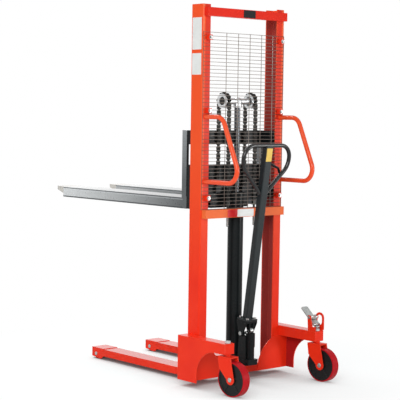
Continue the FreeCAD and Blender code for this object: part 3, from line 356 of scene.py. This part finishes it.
# Hard chrome of the ram
chrome = bareMetal("hard_chrome", {
    "base": "5C5E61", "shade": "525457", "stainMm": 60.0, "brushMm": 0.9, "bump": 0.03, "rough": 0.25,
    "edgeMm": 0.5, "metal": 1.0, "stretch": (1.0, 1.0, 6.0)})
# Turned steel of pulleys and crosshead
turnedSteel = bareMetal("turned_steel", {
    "base": "D6D8D9", "shade": "C2C4C6", "stainMm": 18.0, "brushMm": 0.8, "bump": 0.1, "rough": 0.32,
    "edgeMm": 0.7, "metal": 0.9, "stretch": (8.0, 1.0, 1.0)})
# Oiled chain steel
chainSteel = bareMetal("oiled_chain_steel", {
    "base": "2B2B2B", "shade": "3A3935", "stainMm": 9.0, "brushMm": 1.0, "bump": 0.1, "rough": 0.38,
    "edgeMm": 0.4, "metal": 0.75})
# Ground steel of the carriage rollers
rollerSteel = bareMetal("ground_roller_steel", {
    "base": "6C6E70", "shade": "58595B", "stainMm": 12.0, "brushMm": 0.9, "bump": 0.08, "rough": 0.34,
    "edgeMm": 0.6, "metal": 0.9})
# Seal rubber of bearings and wipers
sealRubber = coated("seal_rubber", {
    "base": "1B1B1B", "shade": "242424", "edge": "333333", "rubAndSheen": 0.3, "patchMm": 12.0, "speckMm": 2.0,
    "peelMm": 0.5, "bump": 0.15, "rough": 0.6, "edgeMm": 0.3})
print("materials made")

finishes = {
    topPaint: ["top_crossbar"],
    redPaint: ["base_beam", "caster_arms", "wheel_arches", "guard_clamps", "brake_bracket"],
    platePaint: ["side_plates"],
    legPaint: ["leg_left", "leg_right"],
    barPaint: ["middle_crossbar"],
    columnPaint: ["mast_column_left", "mast_column_right"],
    gripPaint: ["hand_grips"],
    yokePaint: ["caster_yoke_left", "caster_yoke_right"],
    blackPaint: ["carriage_top_bar", "carriage_lower_plate", "hanger_plates", "roller_brackets",
                 "lift_cylinder", "cylinder_gland", "cylinder_clamp", "pump_block", "pump_barrel",
                 "pump_plunger", "pivot_lugs", "rocker", "release_lever"],
    slatePaint: ["tiller_shaft"],
    loopVinyl: ["tiller_loop"],
    forkPaint: ["fork_left", "fork_right"],
    zinc: ["guard_bolts", "pivot_pins", "tiller_bolts", "brake_pedal", "brake_rod", "kingpin_bushes",
           "pump_roller"],
    wireSteel: ["guard_net"],
    chrome: ["ram_rod"],
    turnedSteel: ["pulley_left", "pulley_right", "crosshead"],
    chainSteel: ["chain_rear", "chain_front", "chain_wraps", "rear_anchors", "pulley_axle"],
    rollerSteel: ["upper_roller_left", "upper_roller_right", "lower_roller_left", "lower_roller_right"],
    nylon: ["wheel_core_left", "wheel_core_right"],
    polyurethane: ["wheel_tread_left", "wheel_tread_right", "load_roller_left", "load_roller_right"],
}
for material, names in finishes.items():
    for name in names:
        nodes[name].data.materials.clear()
        nodes[name].data.materials.append(material)
print("frame painted")


# Meshes and pieces
def newObject(name, data):
    made = bpy.data.objects.new(name, data)
    bpy.context.scene.collection.objects.link(made)
    return made


def meshFrom(bm, name, sharpDegrees=35.0, mergeReach=1e-6):
    bmesh.ops.remove_doubles(bm, verts=bm.verts, dist=mergeReach)
    bmesh.ops.recalc_face_normals(bm, faces=bm.faces)
    for face in bm.faces:
        face.smooth = True
    mesh = bpy.data.meshes.new(name)
    bm.to_mesh(mesh)
    bm.free()
    mesh.set_sharp_from_angle(angle=math.radians(sharpDegrees))
    return mesh


# A profile of (radius, distance along the axis) turned about an axis
def lathed(profile, centre, axis, segments=40):
    bm = bmesh.new()
    turn = Vector((0, 0, 1)).rotation_difference(Vector(axis)).to_matrix()
    rings = []
    for radius, along in profile:
        ring = []
        for i in range(segments):
            angle = 2 * math.pi * i / segments
            place = Vector((radius * math.cos(angle), radius * math.sin(angle), along))
            ring.append(bm.verts.new(centre + turn @ place * mm))
        rings.append(ring)
    for low, high in zip(rings, rings[1:]):
        for i in range(segments):
            j = (i + 1) % segments
            bm.faces.new((low[i], low[j], high[j], high[i]))
    return meshFrom(bm, "lathed")


# A flat plate with round corners and a bevelled rim
def slab(centre, across, upward, size, corner, cornerSteps=4, rimShare=0.3):
    across = Vector(across).normalized()
    upward = Vector(upward).normalized()
    outward = across.cross(upward)
    bm = bmesh.new()
    outline = []
    for cornerIndex, (sx, sy) in enumerate(((1, 1), (-1, 1), (-1, -1), (1, -1))):
        for step in range(cornerSteps + 1):
            angle = math.pi / 2 * (cornerIndex + step / cornerSteps)
            outline.append((sx * (size[0] / 2 - corner) + corner * math.cos(angle),
                            sy * (size[1] / 2 - corner) + corner * math.sin(angle)))
    rim = size[2] * rimShare
    layers = []
    for lift, shrink in ((0.0, 0.0), (size[2] - rim, 0.0), (size[2], rim)):
        ring = []
        for u, v in outline:
            u2 = u * (1 - 2 * shrink / size[0])
            v2 = v * (1 - 2 * shrink / size[1])
            ring.append(bm.verts.new(centre + (across * u2 + upward * v2 + outward * lift) * mm))
        layers.append(ring)
    count = len(outline)
    for low, high in zip(layers, layers[1:]):
        for i in range(count):
            j = (i + 1) % count
            bm.faces.new((low[i], low[j], high[j], high[i]))
    bm.faces.new(layers[-1])
    bm.faces.new(list(reversed(layers[0])))
    return meshFrom(bm, "slab", sharpDegrees=25.0)


# One object from meshes and their materials
def joined(name, parts):
    bm = bmesh.new()
    used = []
    for mesh, material in parts:
        if material not in used:
            used.append(material)
        first = len(bm.faces)
        bm.from_mesh(mesh)
        bm.faces.ensure_lookup_table()
        for face in bm.faces[first:]:
            face.material_index = used.index(material)
    data = bpy.data.meshes.new(name)
    bm.to_mesh(data)
    bm.free()
    for material in used:
        data.materials.append(material)
    return newObject(name, data)


# Geometry node trees
def newTree(name, sockets):
    tree = bpy.data.node_groups.new(name, "GeometryNodeTree")
    tree.interface.new_socket("Geometry", in_out="INPUT", socket_type="NodeSocketGeometry")
    for label, kind in sockets.items():
        tree.interface.new_socket(label, in_out="INPUT", socket_type="NodeSocket" + kind)
    tree.interface.new_socket("Geometry", in_out="OUTPUT", socket_type="NodeSocketGeometry")
    return tree, add(tree, "NodeGroupInput").outputs


def closeTree(tree, instances, material):
    real = add(tree, "GeometryNodeRealizeInstances", {"Geometry": instances})
    painted = add(tree, "GeometryNodeSetMaterial", {
        "Geometry": real.outputs["Geometry"], "Material": material})
    add(tree, "NodeGroupOutput", {"Geometry": painted.outputs["Geometry"]})


# The mesh that a tree makes from a host, which is removed afterwards
def grown(tree, host, values):
    modifier = host.modifiers.new("grow", "NODES")
    modifier.node_group = tree
    for item in tree.interface.items_tree:
        if item.in_out == "INPUT" and item.name in values:
            modifier[item.identifier] = values[item.name]
    bpy.context.view_layer.update()
    depsgraph = bpy.context.evaluated_depsgraph_get()
    mesh = bpy.data.meshes.new_from_object(host.evaluated_get(depsgraph))
    host.modifiers.remove(modifier)
    bpy.data.objects.remove(host)
    return mesh


def pointHost(points):
    mesh = bpy.data.meshes.new("points")
    mesh.from_pydata([tuple(p) for p in points], [], [])
    return newObject("pointHost", mesh)


def pathHost(paths, cyclic=False):
    data = bpy.data.curves.new("path", "CURVE")
    data.dimensions = "3D"
    for path in paths:
        spline = data.splines.new("POLY")
        spline.points.add(len(path) - 1)
        for point, place in zip(spline.points, path):
            point.co = (*place, 1.0)
        spline.use_cyclic_u = cyclic
    return newObject("pathHost", data)


def rodTree(sides=8):
    tree, given = newTree("wireRow", {
        "Start": "Vector", "Step": "Vector", "Count": "Int", "Length": "Float", "Radius": "Float",
        "Turn": "Rotation", "Material": "Material"})
    line = add(tree, "GeometryNodeMeshLine", {
        "Count": given["Count"], "Start Location": given["Start"], "Offset": given["Step"]},
        mode="OFFSET")
    rod = add(tree, "GeometryNodeMeshCylinder", {
        "Vertices": sides, "Radius": given["Radius"], "Depth": given["Length"]})
    smooth = add(tree, "GeometryNodeSetShadeSmooth", {"Geometry": rod.outputs["Mesh"]})
    placed = add(tree, "GeometryNodeInstanceOnPoints", {
        "Points": line.outputs["Mesh"], "Rotation": given["Turn"],
        "Instance": smooth.outputs["Geometry"]})
    closeTree(tree, placed.outputs["Instances"], given["Material"])
    return tree


def chainTree():
    tree, given = newTree("chainRun", {
        "Outer Link": "Object", "Inner Link": "Object", "Material": "Material"})
    points = add(tree, "GeometryNodeCurveToPoints", {"Curve": given["Geometry"]}, mode="EVALUATED")
    aim = add(tree, "FunctionNodeAlignRotationToVector", {"Vector": points.outputs["Tangent"]}, axis="Z",
              pivot_axis="X")
    index = add(tree, "GeometryNodeInputIndex").outputs["Index"]
    odd = maths(tree, "MODULO", index, 2.0)
    even = maths(tree, "SUBTRACT", 1.0, odd)
    both = add(tree, "GeometryNodeJoinGeometry")
    for label, chosen in (("Outer Link", odd), ("Inner Link", even)):
        link = add(tree, "GeometryNodeObjectInfo", {"Object": given[label]})
        placed = add(tree, "GeometryNodeInstanceOnPoints", {
            "Points": points.outputs["Points"], "Selection": chosen,
            "Instance": link.outputs["Geometry"], "Rotation": aim.outputs["Rotation"]})
        tree.links.new(placed.outputs["Instances"], both.inputs["Geometry"])
    closeTree(tree, both.outputs["Geometry"], given["Material"])
    return tree


def beadTree(smallest=0.8, largest=1.15, subdivisions=2):
    tree, given = newTree("beadRow", {"Pitch": "Float", "Radius": "Float", "Material": "Material"})
    even = add(tree, "GeometryNodeResampleCurve", {
        "Curve": given["Geometry"], "Length": given["Pitch"]}, mode="LENGTH")
    bead = add(tree, "GeometryNodeMeshIcoSphere", {
        "Radius": given["Radius"], "Subdivisions": subdivisions})
    smooth = add(tree, "GeometryNodeSetShadeSmooth", {"Geometry": bead.outputs["Mesh"]})
    size = add(tree, "FunctionNodeRandomValue", {2: smallest, 3: largest}, data_type="FLOAT")
    placed = add(tree, "GeometryNodeInstanceOnPoints", {
        "Points": even.outputs["Curve"], "Scale": size.outputs[1],
        "Instance": smooth.outputs["Geometry"]})
    closeTree(tree, placed.outputs["Instances"], given["Material"])
    return tree


wireRow = rodTree()
chainRun = chainTree()
beadRow = beadTree()
print("trees made")

# Guard: thin cross wires on upright wires, clamped to the rear of the columns
guardSpec = {"rows": 49, "crossRadius": 1.35, "uprightRadius": 1.7, "uprightPitch": 84.5, "uprights": 5,
             "uprightFirst": -129.0, "inset": 1.6}
guardSize = guardHigh - guardLow
rowStep = (guardSize.z - 2 * guardSpec["inset"] * mm) / (guardSpec["rows"] - 1)
quarter = math.pi / 2
wireMeshes = []
crossY = guardLow.y + guardSpec["crossRadius"] * mm
uprightY = guardHigh.y - guardSpec["uprightRadius"] * mm
middleZ = (guardLow.z + guardHigh.z) / 2
wireMeshes.append(grown(wireRow, pointHost([(0, 0, 0)]), {
    "Start": (0.0, crossY, guardLow.z + guardSpec["inset"] * mm), "Step": (0.0, 0.0, rowStep),
    "Count": guardSpec["rows"], "Length": guardSize.x, "Radius": guardSpec["crossRadius"] * mm,
    "Turn": (0.0, quarter, 0.0), "Material": wireSteel}))
edgeX = guardHigh.x - guardSpec["uprightRadius"] * mm
firstX = guardSpec["uprightFirst"] * mm
uprightRows = (
    (firstX, guardSpec["uprightPitch"] * mm, guardSpec["uprights"]),
    (-edgeX, 2 * edgeX, 2))
for start, step, count in uprightRows:
    wireMeshes.append(grown(wireRow, pointHost([(0, 0, 0)]), {
        "Start": (start, uprightY, middleZ), "Step": (step, 0.0, 0.0), "Count": count,
        "Length": guardSize.z, "Radius": guardSpec["uprightRadius"] * mm, "Turn": (0.0, 0.0, 0.0),
        "Material": wireSteel}))
guardWires = joined("guard_wires", [(mesh, wireSteel) for mesh in wireMeshes])
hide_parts("guard_net")
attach(guardWires, "chassis")
print("guard made")

# Leaf chains: laced plates on pins, drawn upright about the middle of one link
pulleyLow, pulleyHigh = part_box("pulley_right")
chainSpec = {"pitch": 19.05, "plate": 3.4, "lace": 4.6, "leaves": 5, "endRadius": 6.0, "endShare": 0.98,
             "endSteps": 12, "waistShare": 0.7, "waistReach": 0.25, "pinRadius": 2.8, "pinProud": 0.6,
             "pinChamfer": 0.5, "pinTipShare": 0.8, "pinSides": 14, "wrapLinks": 6,
             "x": (pulleyLow.x + pulleyHigh.x) / 2 / mm}


def linkMesh(spec, outer):
    bm = bmesh.new()
    half = spec["pitch"] / 2
    waist = (spec["endRadius"] * spec["waistShare"], half * spec["waistReach"])
    outline = []
    for way in (1, -1):
        for i in range(spec["endSteps"] + 1):
            angle = math.pi * (i / spec["endSteps"] - 0.5)
            outline.append((way * math.sin(angle) * spec["endRadius"],
                            way * (math.cos(angle) * spec["endRadius"] * spec["endShare"] + half)))
        outline.append((way * waist[0], way * waist[1]))
        outline.append((way * waist[0], -way * waist[1]))
    count = len(outline)
    for leaf in range(0 if outer else 1, spec["leaves"], 2):
        x0 = (leaf - (spec["leaves"] - 1) / 2) * spec["lace"] - spec["plate"] / 2
        sides = [[bm.verts.new(Vector((x, y, z)) * mm) for y, z in outline]
                 for x in (x0, x0 + spec["plate"])]
        for i in range(count):
            j = (i + 1) % count
            bm.faces.new((sides[0][i], sides[0][j], sides[1][j], sides[1][i]))
        bm.faces.new(list(reversed(sides[0])))
        bm.faces.new(sides[1])
    parts = [(meshFrom(bm, "plates", sharpDegrees=30.0), chainSteel)]
    if outer:
        reach = spec["leaves"] * spec["lace"] / 2 + spec["pinProud"]
        shoulder = reach - spec["pinChamfer"]
        radius = spec["pinRadius"]
        tip = radius * spec["pinTipShare"]
        profile = [(0, -reach), (tip, -reach), (radius, -shoulder),
                   (radius, shoulder), (tip, reach), (0, reach)]
        for end in (-half, half):
            pin = lathed(profile, Vector((0, 0, end * mm)), (1, 0, 0), spec["pinSides"])
            parts.append((pin, chainSteel))
    link = joined("outer_link" if outer else "inner_link", parts)
    link.hide_render = True
    return link


outerLink = linkMesh(chainSpec, True)
innerLink = linkMesh(chainSpec, False)


def chainPiece(name, paths):
    mesh = grown(chainRun, pathHost(paths), {
        "Outer Link": outerLink, "Inner Link": innerLink, "Material": chainSteel})
    return joined(name, [(mesh, chainSteel)])


def strandPaths(node):
    low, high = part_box(node)
    y = (low.y + high.y) / 2
    count = round((high.z - low.z) / (chainSpec["pitch"] * mm))
    step = (high.z - low.z) / count
    return [[Vector((s * chainSpec["x"] * mm, y, high.z - (i + 0.5) * step)) for i in range(count)]
            for s in (-1, 1)]


wrapLow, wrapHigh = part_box("chain_wraps")
wrapMiddle = Vector((0, (wrapLow.y + wrapHigh.y) / 2, wrapLow.z))
wrapRadius = (wrapHigh.y - wrapLow.y) / 2 - chainSpec["endRadius"] * mm
wrapPaths = []
for s in (-1, 1):
    angles = [math.pi * (i + 0.5) / chainSpec["wrapLinks"] for i in range(chainSpec["wrapLinks"])]
    across = s * chainSpec["x"] * mm
    wrapPaths.append([wrapMiddle + Vector((across, -wrapRadius * math.cos(a), wrapRadius * math.sin(a)))
                      for a in angles])
rearLow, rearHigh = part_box("chain_rear")
chainRear = chainPiece("chain_rear_links", strandPaths("chain_rear"))
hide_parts("chain_rear")
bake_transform(chainRear)
chainFront = chainPiece("chain_front_links", strandPaths("chain_front"))
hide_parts("chain_front")
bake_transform(chainFront)
chainWraps = chainPiece("chain_wrap_links", wrapPaths)
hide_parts("chain_wraps")
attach(chainWraps, "ram")
for link in (outerLink, innerLink):
    bpy.data.objects.remove(link)
print("chains made")

# Pulley faces: a sealed bearing in the outer recess, a thin seal round the sleeve on the inner face
pulleySpec = {
    "recess": 6.0,
    "seal": ((21.9, 0), (21.6, 1.2), (19.9, 1.2), (19.3, 0.6), (16.4, 0.6), (15.4, 0)),
    "cover": ((25.0, 0), (24.4, 0.72), (18.4, 0.72), (17.8, 0))}
for word, side in (("left", -1), ("right", 1)):
    low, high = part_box("pulley_" + word)
    middle = (low + high) / 2
    half = (high.x - low.x) / 2
    floorCentre = middle + Vector((side * (half - pulleySpec["recess"] * mm), 0, 0))
    innerCentre = middle - Vector((side * half, 0, 0))
    faces = joined("pulley_bearing_" + word, [
        (lathed(pulleySpec["seal"], floorCentre, (side, 0, 0)), sealRubber),
        (lathed(pulleySpec["cover"], innerCentre, (-side, 0, 0)), sealRubber)])
    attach(faces, "pulley_" + word)
print("pulleys made")

# Wheel hubs: bearing shield and thread guard on each side
hubSpec = {
    "face": 24.0,
    "shield": ((21.0, 0), (20.2, 1.1), (15.5, 1.1), (15.5, 0)),
    "guard": ((15.5, 0), (14.9, 0.88), (8.2, 0.88), (8.2, 0))}
for word in ("left", "right"):
    joint = jointNamed("wheel_%s_roll" % word)
    centre = Vector(joint["pos_m"])
    axle = Vector(joint["axis"]).normalized()
    parts = []
    for way in (-1, 1):
        face = centre + axle * way * hubSpec["face"] * mm
        parts.append((lathed(hubSpec["shield"], face, axle * way), zinc))
        parts.append((lathed(hubSpec["guard"], face, axle * way), sealRubber))
    hub = joined("wheel_hub_" + word, parts)
    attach(hub, "wheel_" + word)
print("hubs made")

# Axle caps: plated caps over the bolt heads on the yoke cheeks
capSpec = {"face": 29.5, "cap": ((11.6, 0), (11.6, 3.92), (9.28, 5.6), (0, 5.6))}
for word in ("left", "right"):
    joint = jointNamed("wheel_%s_roll" % word)
    axle = Vector(joint["axis"]).normalized()
    parts = []
    for way in (-1, 1):
        face = Vector(joint["pos_m"]) + axle * way * capSpec["face"] * mm
        parts.append((lathed(capSpec["cap"], face, axle * way), zinc))
    caps = joined("axle_caps_" + word, parts)
    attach(caps, "caster_" + word)
print("axle caps made")

# Swivel heads: two pressed races with a dark gap between them
raceSpec = {
    "low": 203.0,
    "lower": ((12.5, 0), (18.5, 0.3), (19.1, 2.0), (18.1, 3.36), (12.5, 3.36)),
    "gap": ((16.0, 2.4), (16.0, 5.6)),
    "upper": ((12.5, 4.64), (18.1, 4.64), (19.1, 6.0), (18.5, 7.7), (12.5, 8.0))}
for word in ("left", "right"):
    joint = jointNamed("caster_%s_swivel" % word)
    centre = Vector((joint["pos_m"][0], joint["pos_m"][1], raceSpec["low"] * mm))
    race = joined("swivel_race_" + word, [
        (lathed(raceSpec["lower"], centre, (0, 0, 1)), redPaint),
        (lathed(raceSpec["gap"], centre, (0, 0, 1)), sealRubber),
        (lathed(raceSpec["upper"], centre, (0, 0, 1)), redPaint)])
    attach(race, "caster_" + word)
print("races made")

# Label places, all blank: plate on the top crossbar, panels on the left column and the middle crossbar
labelSpec = {
    "thick": 0.5, "corner": 3.0, "panels": ((1764.0, 1930.0), (1634.0, 1745.0)), "panelWidth": 72.0,
    "panelY": 45.0, "plate": (86.0, 40.0, 1.2), "plateX": 5.0, "stripHeight": 40.0,
    "strips": ((-131.0, -60.0, redVinyl), (-60.0, 58.0, paleVinyl))}
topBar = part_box("top_crossbar")
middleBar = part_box("middle_crossbar")
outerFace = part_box("mast_column_left")[0].x
labels = []
for lowZ, highZ in labelSpec["panels"]:
    centre = at(outerFace / mm, labelSpec["panelY"], (lowZ + highZ) / 2)
    panelSize = (labelSpec["panelWidth"], highZ - lowZ, labelSpec["thick"])
    labels.append((slab(centre, (0, -1, 0), (0, 0, 1), panelSize, labelSpec["corner"]), paleVinyl))
plateCentre = Vector((labelSpec["plateX"] * mm, topBar[0].y, (topBar[0].z + topBar[1].z) / 2))
plateMesh = slab(plateCentre, (1, 0, 0), (0, 0, 1), labelSpec["plate"], labelSpec["corner"])
labels.append((plateMesh, blackVinyl))
for left, right, vinyl in labelSpec["strips"]:
    centre = Vector(((left + right) / 2 * mm, middleBar[0].y, (middleBar[0].z + middleBar[1].z) / 2))
    stripSize = (right - left, labelSpec["stripHeight"], labelSpec["thick"])
    labels.append((slab(centre, (1, 0, 0), (0, 0, 1), stripSize, labelSpec["corner"]), vinyl))
chassisLabels = joined("blank_labels", labels)
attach(chassisLabels, "chassis")
print("labels made")

# Blank yellow sticker on the rear of the tiller
tillerFront = Vector(jointNamed("release_pull")["axis"]).normalized()
tillerUp = Vector((1, 0, 0)).cross(tillerFront)
tillerPivot = Vector(jointNamed("tiller_pump")["pos_m"])
stickerSpec = {"along": 971.0, "size": (40.0, 70.0, 0.4), "corner": 2.5, "shaftDepth": 35.0}
stickerCentre = (tillerPivot + tillerUp * stickerSpec["along"] * mm
                 - tillerFront * (stickerSpec["shaftDepth"] / 2) * mm)
stickerMesh = slab(stickerCentre, (1, 0, 0), tillerUp, stickerSpec["size"], stickerSpec["corner"])
sticker = joined("blank_sticker", [(stickerMesh, yellowVinyl)])
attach(sticker, "tiller")
print("sticker made")


# Weld beads along the joints of the frame
def ringPath(centre, axis, radius, count=28):
    turn = Vector((0, 0, 1)).rotation_difference(Vector(axis)).to_matrix()
    angles = [2 * math.pi * i / count for i in range(count)]
    return [centre + turn @ Vector((radius * math.cos(a), radius * math.sin(a), 0)) * mm for a in angles]


def beads(paths, cyclic, spec, material):
    return grown(beadRow, pathHost(paths, cyclic), {
        "Pitch": spec["pitch"] * mm, "Radius": spec["radius"] * mm, "Material": material})


weldSpec = {
    "pitch": 3.2, "radius": 2.6, "gripInset": 12.5, "gripHeights": (1416.0, 1078.0), "gripBack": 3.0,
    "gripRing": 13.0, "netGap": 4.0, "inset": 2.0, "outset": 3.0, "foot": (4.0, 83.0)}
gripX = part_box("hand_grips")[1].x / mm - weldSpec["gripInset"]
gripRings = [ringPath(at(s * gripX, -weldSpec["gripBack"], z), (0, 1, 0), weldSpec["gripRing"])
             for s in (-1, 1) for z in weldSpec["gripHeights"]]
barLines = []
for bar in (topBar, middleBar):
    for s in (-1, 1):
        for z in (bar[0].z, bar[1].z):
            if abs(z - guardLow.z) > weldSpec["netGap"] * mm:
                barLines.append([Vector((s * (columnLow.x + weldSpec["inset"] * mm), mastRear, z)),
                                 Vector((s * (bar[1].x - weldSpec["outset"] * mm), mastRear, z))])
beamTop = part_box("base_beam")[1].z
footLines = [[Vector((s * columnHigh.x, mastRear + y * mm, beamTop)) for y in weldSpec["foot"]]
             for s in (-1, 1)]
chassisWelds = joined("chassis_welds", [
    (beads(gripRings, True, weldSpec, redPaint), redPaint),
    (beads(barLines + footLines, False, weldSpec, redPaint), redPaint)])
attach(chassisWelds, "chassis")
shaftWeldSpec = {"pitch": 2.8, "radius": 2.2, "along": 82.3,
                 "corners": ((-22.5, -17.5), (22.5, -17.5), (22.5, 17.5), (-22.5, 17.5))}
shaftFoot = tillerPivot + tillerUp * shaftWeldSpec["along"] * mm
shaftPath = [shaftFoot + (Vector((x, 0, 0)) + tillerFront * y) * mm for x, y in shaftWeldSpec["corners"]]
shaftWeld = beads([shaftPath], True, shaftWeldSpec, slatePaint)
tillerWelds = joined("tiller_welds", [(shaftWeld, slatePaint)])
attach(tillerWelds, "tiller")
seamSpec = {"pitch": 4.0, "radius": 2.4, "low": 995.0, "end": 6.0}
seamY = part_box("hanger_plates")[1].y
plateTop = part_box("carriage_lower_plate")[1].z
forkLines = []
for s in (-1, 1):
    for x, top in ((forkLow.x, plateTop), (forkHigh.x, forkHigh.z)):
        forkLines.append([Vector((s * x, seamY, seamSpec["low"] * mm)),
                          Vector((s * x, seamY, top - seamSpec["end"] * mm))])
carriageWelds = joined("carriage_welds", [(beads(forkLines, False, seamSpec, blackPaint), blackPaint)])
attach(carriageWelds, "carriage")
print("welds made")

# Cylinder and pump fittings: weld collar, wiper seal and plugs on the pump block
fitSpec = {
    "collar": ((42.0, 0), (47.0, 0), (47.0, 4.0), (45.0, 7.0), (42.0, 9.0)),
    "wiper": ((24.0, 0), (23.0, 2.2), (17.6, 2.8), (16.4, 1.2), (16.4, 0)),
    "plug": ((8.0, 0), (8.0, 5.0), (6.5, 6.5), (3.4, 6.5), (3.4, 3.5), (0, 3.5)),
    "plugY": (-90.0, -30.0, 20.0), "plugSides": 6}
blockLow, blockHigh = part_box("pump_block")
glandLow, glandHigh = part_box("cylinder_gland")
cylinderY = (glandLow.y + glandHigh.y) / 2
fitParts = [(lathed(fitSpec["collar"], Vector((0, cylinderY, blockHigh.z)), (0, 0, 1)), blackPaint),
            (lathed(fitSpec["wiper"], Vector((0, cylinderY, glandHigh.z)), (0, 0, 1)), sealRubber)]
for y in fitSpec["plugY"]:
    for s in (-1, 1):
        place = at(s * blockHigh.x / mm, y, (blockLow.z + blockHigh.z) / 2 / mm)
        fitParts.append((lathed(fitSpec["plug"], place, (s, 0, 0), fitSpec["plugSides"]), blackPaint))
fittings = joined("pump_fittings", fitParts)
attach(fittings, "chassis")
print("fittings made")

# Threads on the chain anchor bolts
threadSpec = {"radius": 6.0, "rise": 0.5, "pitch": 1.75, "tail": 2.0, "turns": 28, "sides": 18}
threadProfile = []
for i in range(threadSpec["turns"]):
    threadProfile.append((threadSpec["radius"], i * threadSpec["pitch"]))
    threadProfile.append((threadSpec["radius"] + threadSpec["rise"], (i + 0.5) * threadSpec["pitch"]))
anchorY = (rearLow.y + rearHigh.y) / 2
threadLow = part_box("rear_anchors")[0].z + threadSpec["tail"] * mm
threads = []
for s in (-1, 1):
    foot = Vector((s * chainSpec["x"] * mm, anchorY, threadLow))
    threads.append((lathed(threadProfile, foot, (0, 0, 1), threadSpec["sides"]), zinc))
anchorThreads = joined("anchor_threads", threads)
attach(anchorThreads, "chassis")
print("threads made")


# Stage: white floor with a soft shadow, partly cast by the lamps and partly painted shade, white
# surroundings, soft lamps
floorSpec = {
    "reach": 40.0, "matt": (0.87, 0.95, 0.95), "glow": 0.12, "fadeStart": 0.7, "fadeEnd": 1.5,
    "closeReach": 0.9, "closeShare": 0.6, "closeLow": 0.2, "closeHigh": 0.84, "closeSamples": 12}


def makeFloor():
    mesh = bpy.data.meshes.new("floor")
    reach = floorSpec["reach"]
    corners = [(-reach, -reach, 0), (reach, -reach, 0), (reach, reach, 0), (-reach, reach, 0)]
    mesh.from_pydata(corners, [], [(0, 1, 2, 3)])
    material, tree = newMaterial("studio_floor")
    path = add(tree, "ShaderNodeLightPath").outputs
    coords = add(tree, "ShaderNodeTexCoord").outputs["Object"]
    away = add(tree, "ShaderNodeVectorMath", {0: coords}, operation="LENGTH").outputs["Value"]
    far = spread(tree, away, 0.0, 1.0, floorSpec["fadeStart"], floorSpec["fadeEnd"])
    seen = maths(tree, "MAXIMUM", path["Is Camera Ray"], path["Is Glossy Ray"])
    seen = maths(tree, "MAXIMUM", seen, path["Is Transmission Ray"])
    matt = add(tree, "ShaderNodeBsdfDiffuse", {"Color": (*floorSpec["matt"], 1.0)})
    glow = add(tree, "ShaderNodeEmission", {"Color": whiteLight, "Strength": floorSpec["glow"]})
    both = add(tree, "ShaderNodeAddShader", {0: matt.outputs["BSDF"], 1: glow.outputs["Emission"]})
    white = add(tree, "ShaderNodeEmission", {"Color": whiteLight, "Strength": 1.0})
    # Painted shade: ambient occlusion dims the floor's glow near the machine, mixed with the lamps' real
    # shadow
    clear = add(tree, "ShaderNodeAmbientOcclusion", {"Distance": floorSpec["closeReach"]},
                samples=floorSpec["closeSamples"])
    lit = spread(tree, clear.outputs["AO"], 0.0, 1.0, floorSpec["closeLow"], floorSpec["closeHigh"])
    close = add(tree, "ShaderNodeEmission", {"Color": whiteLight, "Strength": lit})
    near = add(tree, "ShaderNodeMixShader", {
        0: floorSpec["closeShare"], 1: both.outputs["Shader"], 2: close.outputs["Emission"]})
    shown = add(tree, "ShaderNodeMixShader", {
        0: far, 1: near.outputs["Shader"], 2: white.outputs["Emission"]})
    mixed = add(tree, "ShaderNodeMixShader", {
        0: seen, 1: matt.outputs["BSDF"], 2: shown.outputs["Shader"]})
    add(tree, "ShaderNodeOutputMaterial", {"Surface": mixed.outputs["Shader"]})
    mesh.materials.append(material)
    floor = newObject("studio_floor", mesh)


worldSpec = {"shown": 1.0, "soft": 0.22}


def makeWorld():
    world = bpy.data.worlds.new("studio")
    world.use_nodes = True
    tree = world.node_tree
    tree.nodes.clear()
    path = add(tree, "ShaderNodeLightPath").outputs
    seen = maths(tree, "MAXIMUM", path["Is Camera Ray"], path["Is Transmission Ray"])
    seen = maths(tree, "MAXIMUM", seen, path["Is Glossy Ray"])
    white = add(tree, "ShaderNodeBackground", {"Color": whiteLight, "Strength": worldSpec["shown"]})
    soft = add(tree, "ShaderNodeBackground", {"Color": whiteLight, "Strength": worldSpec["soft"]})
    mixed = add(tree, "ShaderNodeMixShader", {
        0: seen, 1: soft.outputs["Background"], 2: white.outputs["Background"]})
    add(tree, "ShaderNodeOutputWorld", {"Surface": mixed.outputs["Shader"]})
    bpy.context.scene.world = world


def makeLamp(name, place, target, size, power):
    data = bpy.data.lights.new(name, "AREA")
    data.shape = "DISK"
    data.size = size
    data.energy = power
    lamp = newObject(name, data)
    lamp.location = place
    lamp.rotation_euler = (Vector(target) - Vector(place)).to_track_quat("-Z", "Y").to_euler()


makeFloor()
makeWorld()
# Place, target, size and power of each lamp
lampSpec = {
    "key": ((-4.1, -3.7, 2.8), (0.0, 0.0, 0.8), 3.0, 190.0),
    "rear": ((2.95, -4.2, 1.15), (0.0, -0.4, 0.6), 1.5, 60.0),
    "top": ((-0.4, 2.6, 4.8), (0.0, 0.0, 0.0), 2.2, 190.0),
}
for name, (place, target, size, power) in lampSpec.items():
    makeLamp(name, place, target, size, power)

# Camera at the photograph's place: yaw from the fork direction, downward pitch and a small roll
cameraSpec = {"place": (-4880.3, -5238.6, 1449.5), "yaw": 41.177, "pitch": 3.840, "roll": 0.831,
              "focalPixels": 1338.1, "imagePixels": 400.0, "sensor": 36.0}
cameraData = bpy.data.cameras.new("camera")
cameraData.sensor_width = cameraSpec["sensor"]
cameraData.lens = cameraSpec["focalPixels"] / cameraSpec["imagePixels"] * cameraSpec["sensor"]
camera = newObject("camera", cameraData)
aim = (Matrix.Rotation(math.radians(-cameraSpec["yaw"]), 4, "Z")
       @ Matrix.Rotation(math.radians(90 - cameraSpec["pitch"]), 4, "X")
       @ Matrix.Rotation(math.radians(cameraSpec["roll"]), 4, "Z"))
camera.matrix_world = Matrix.Translation(at(*cameraSpec["place"])) @ aim
bpy.context.scene.camera = camera
bpy.context.scene.view_settings.view_transform = "Standard"
print("stage made")
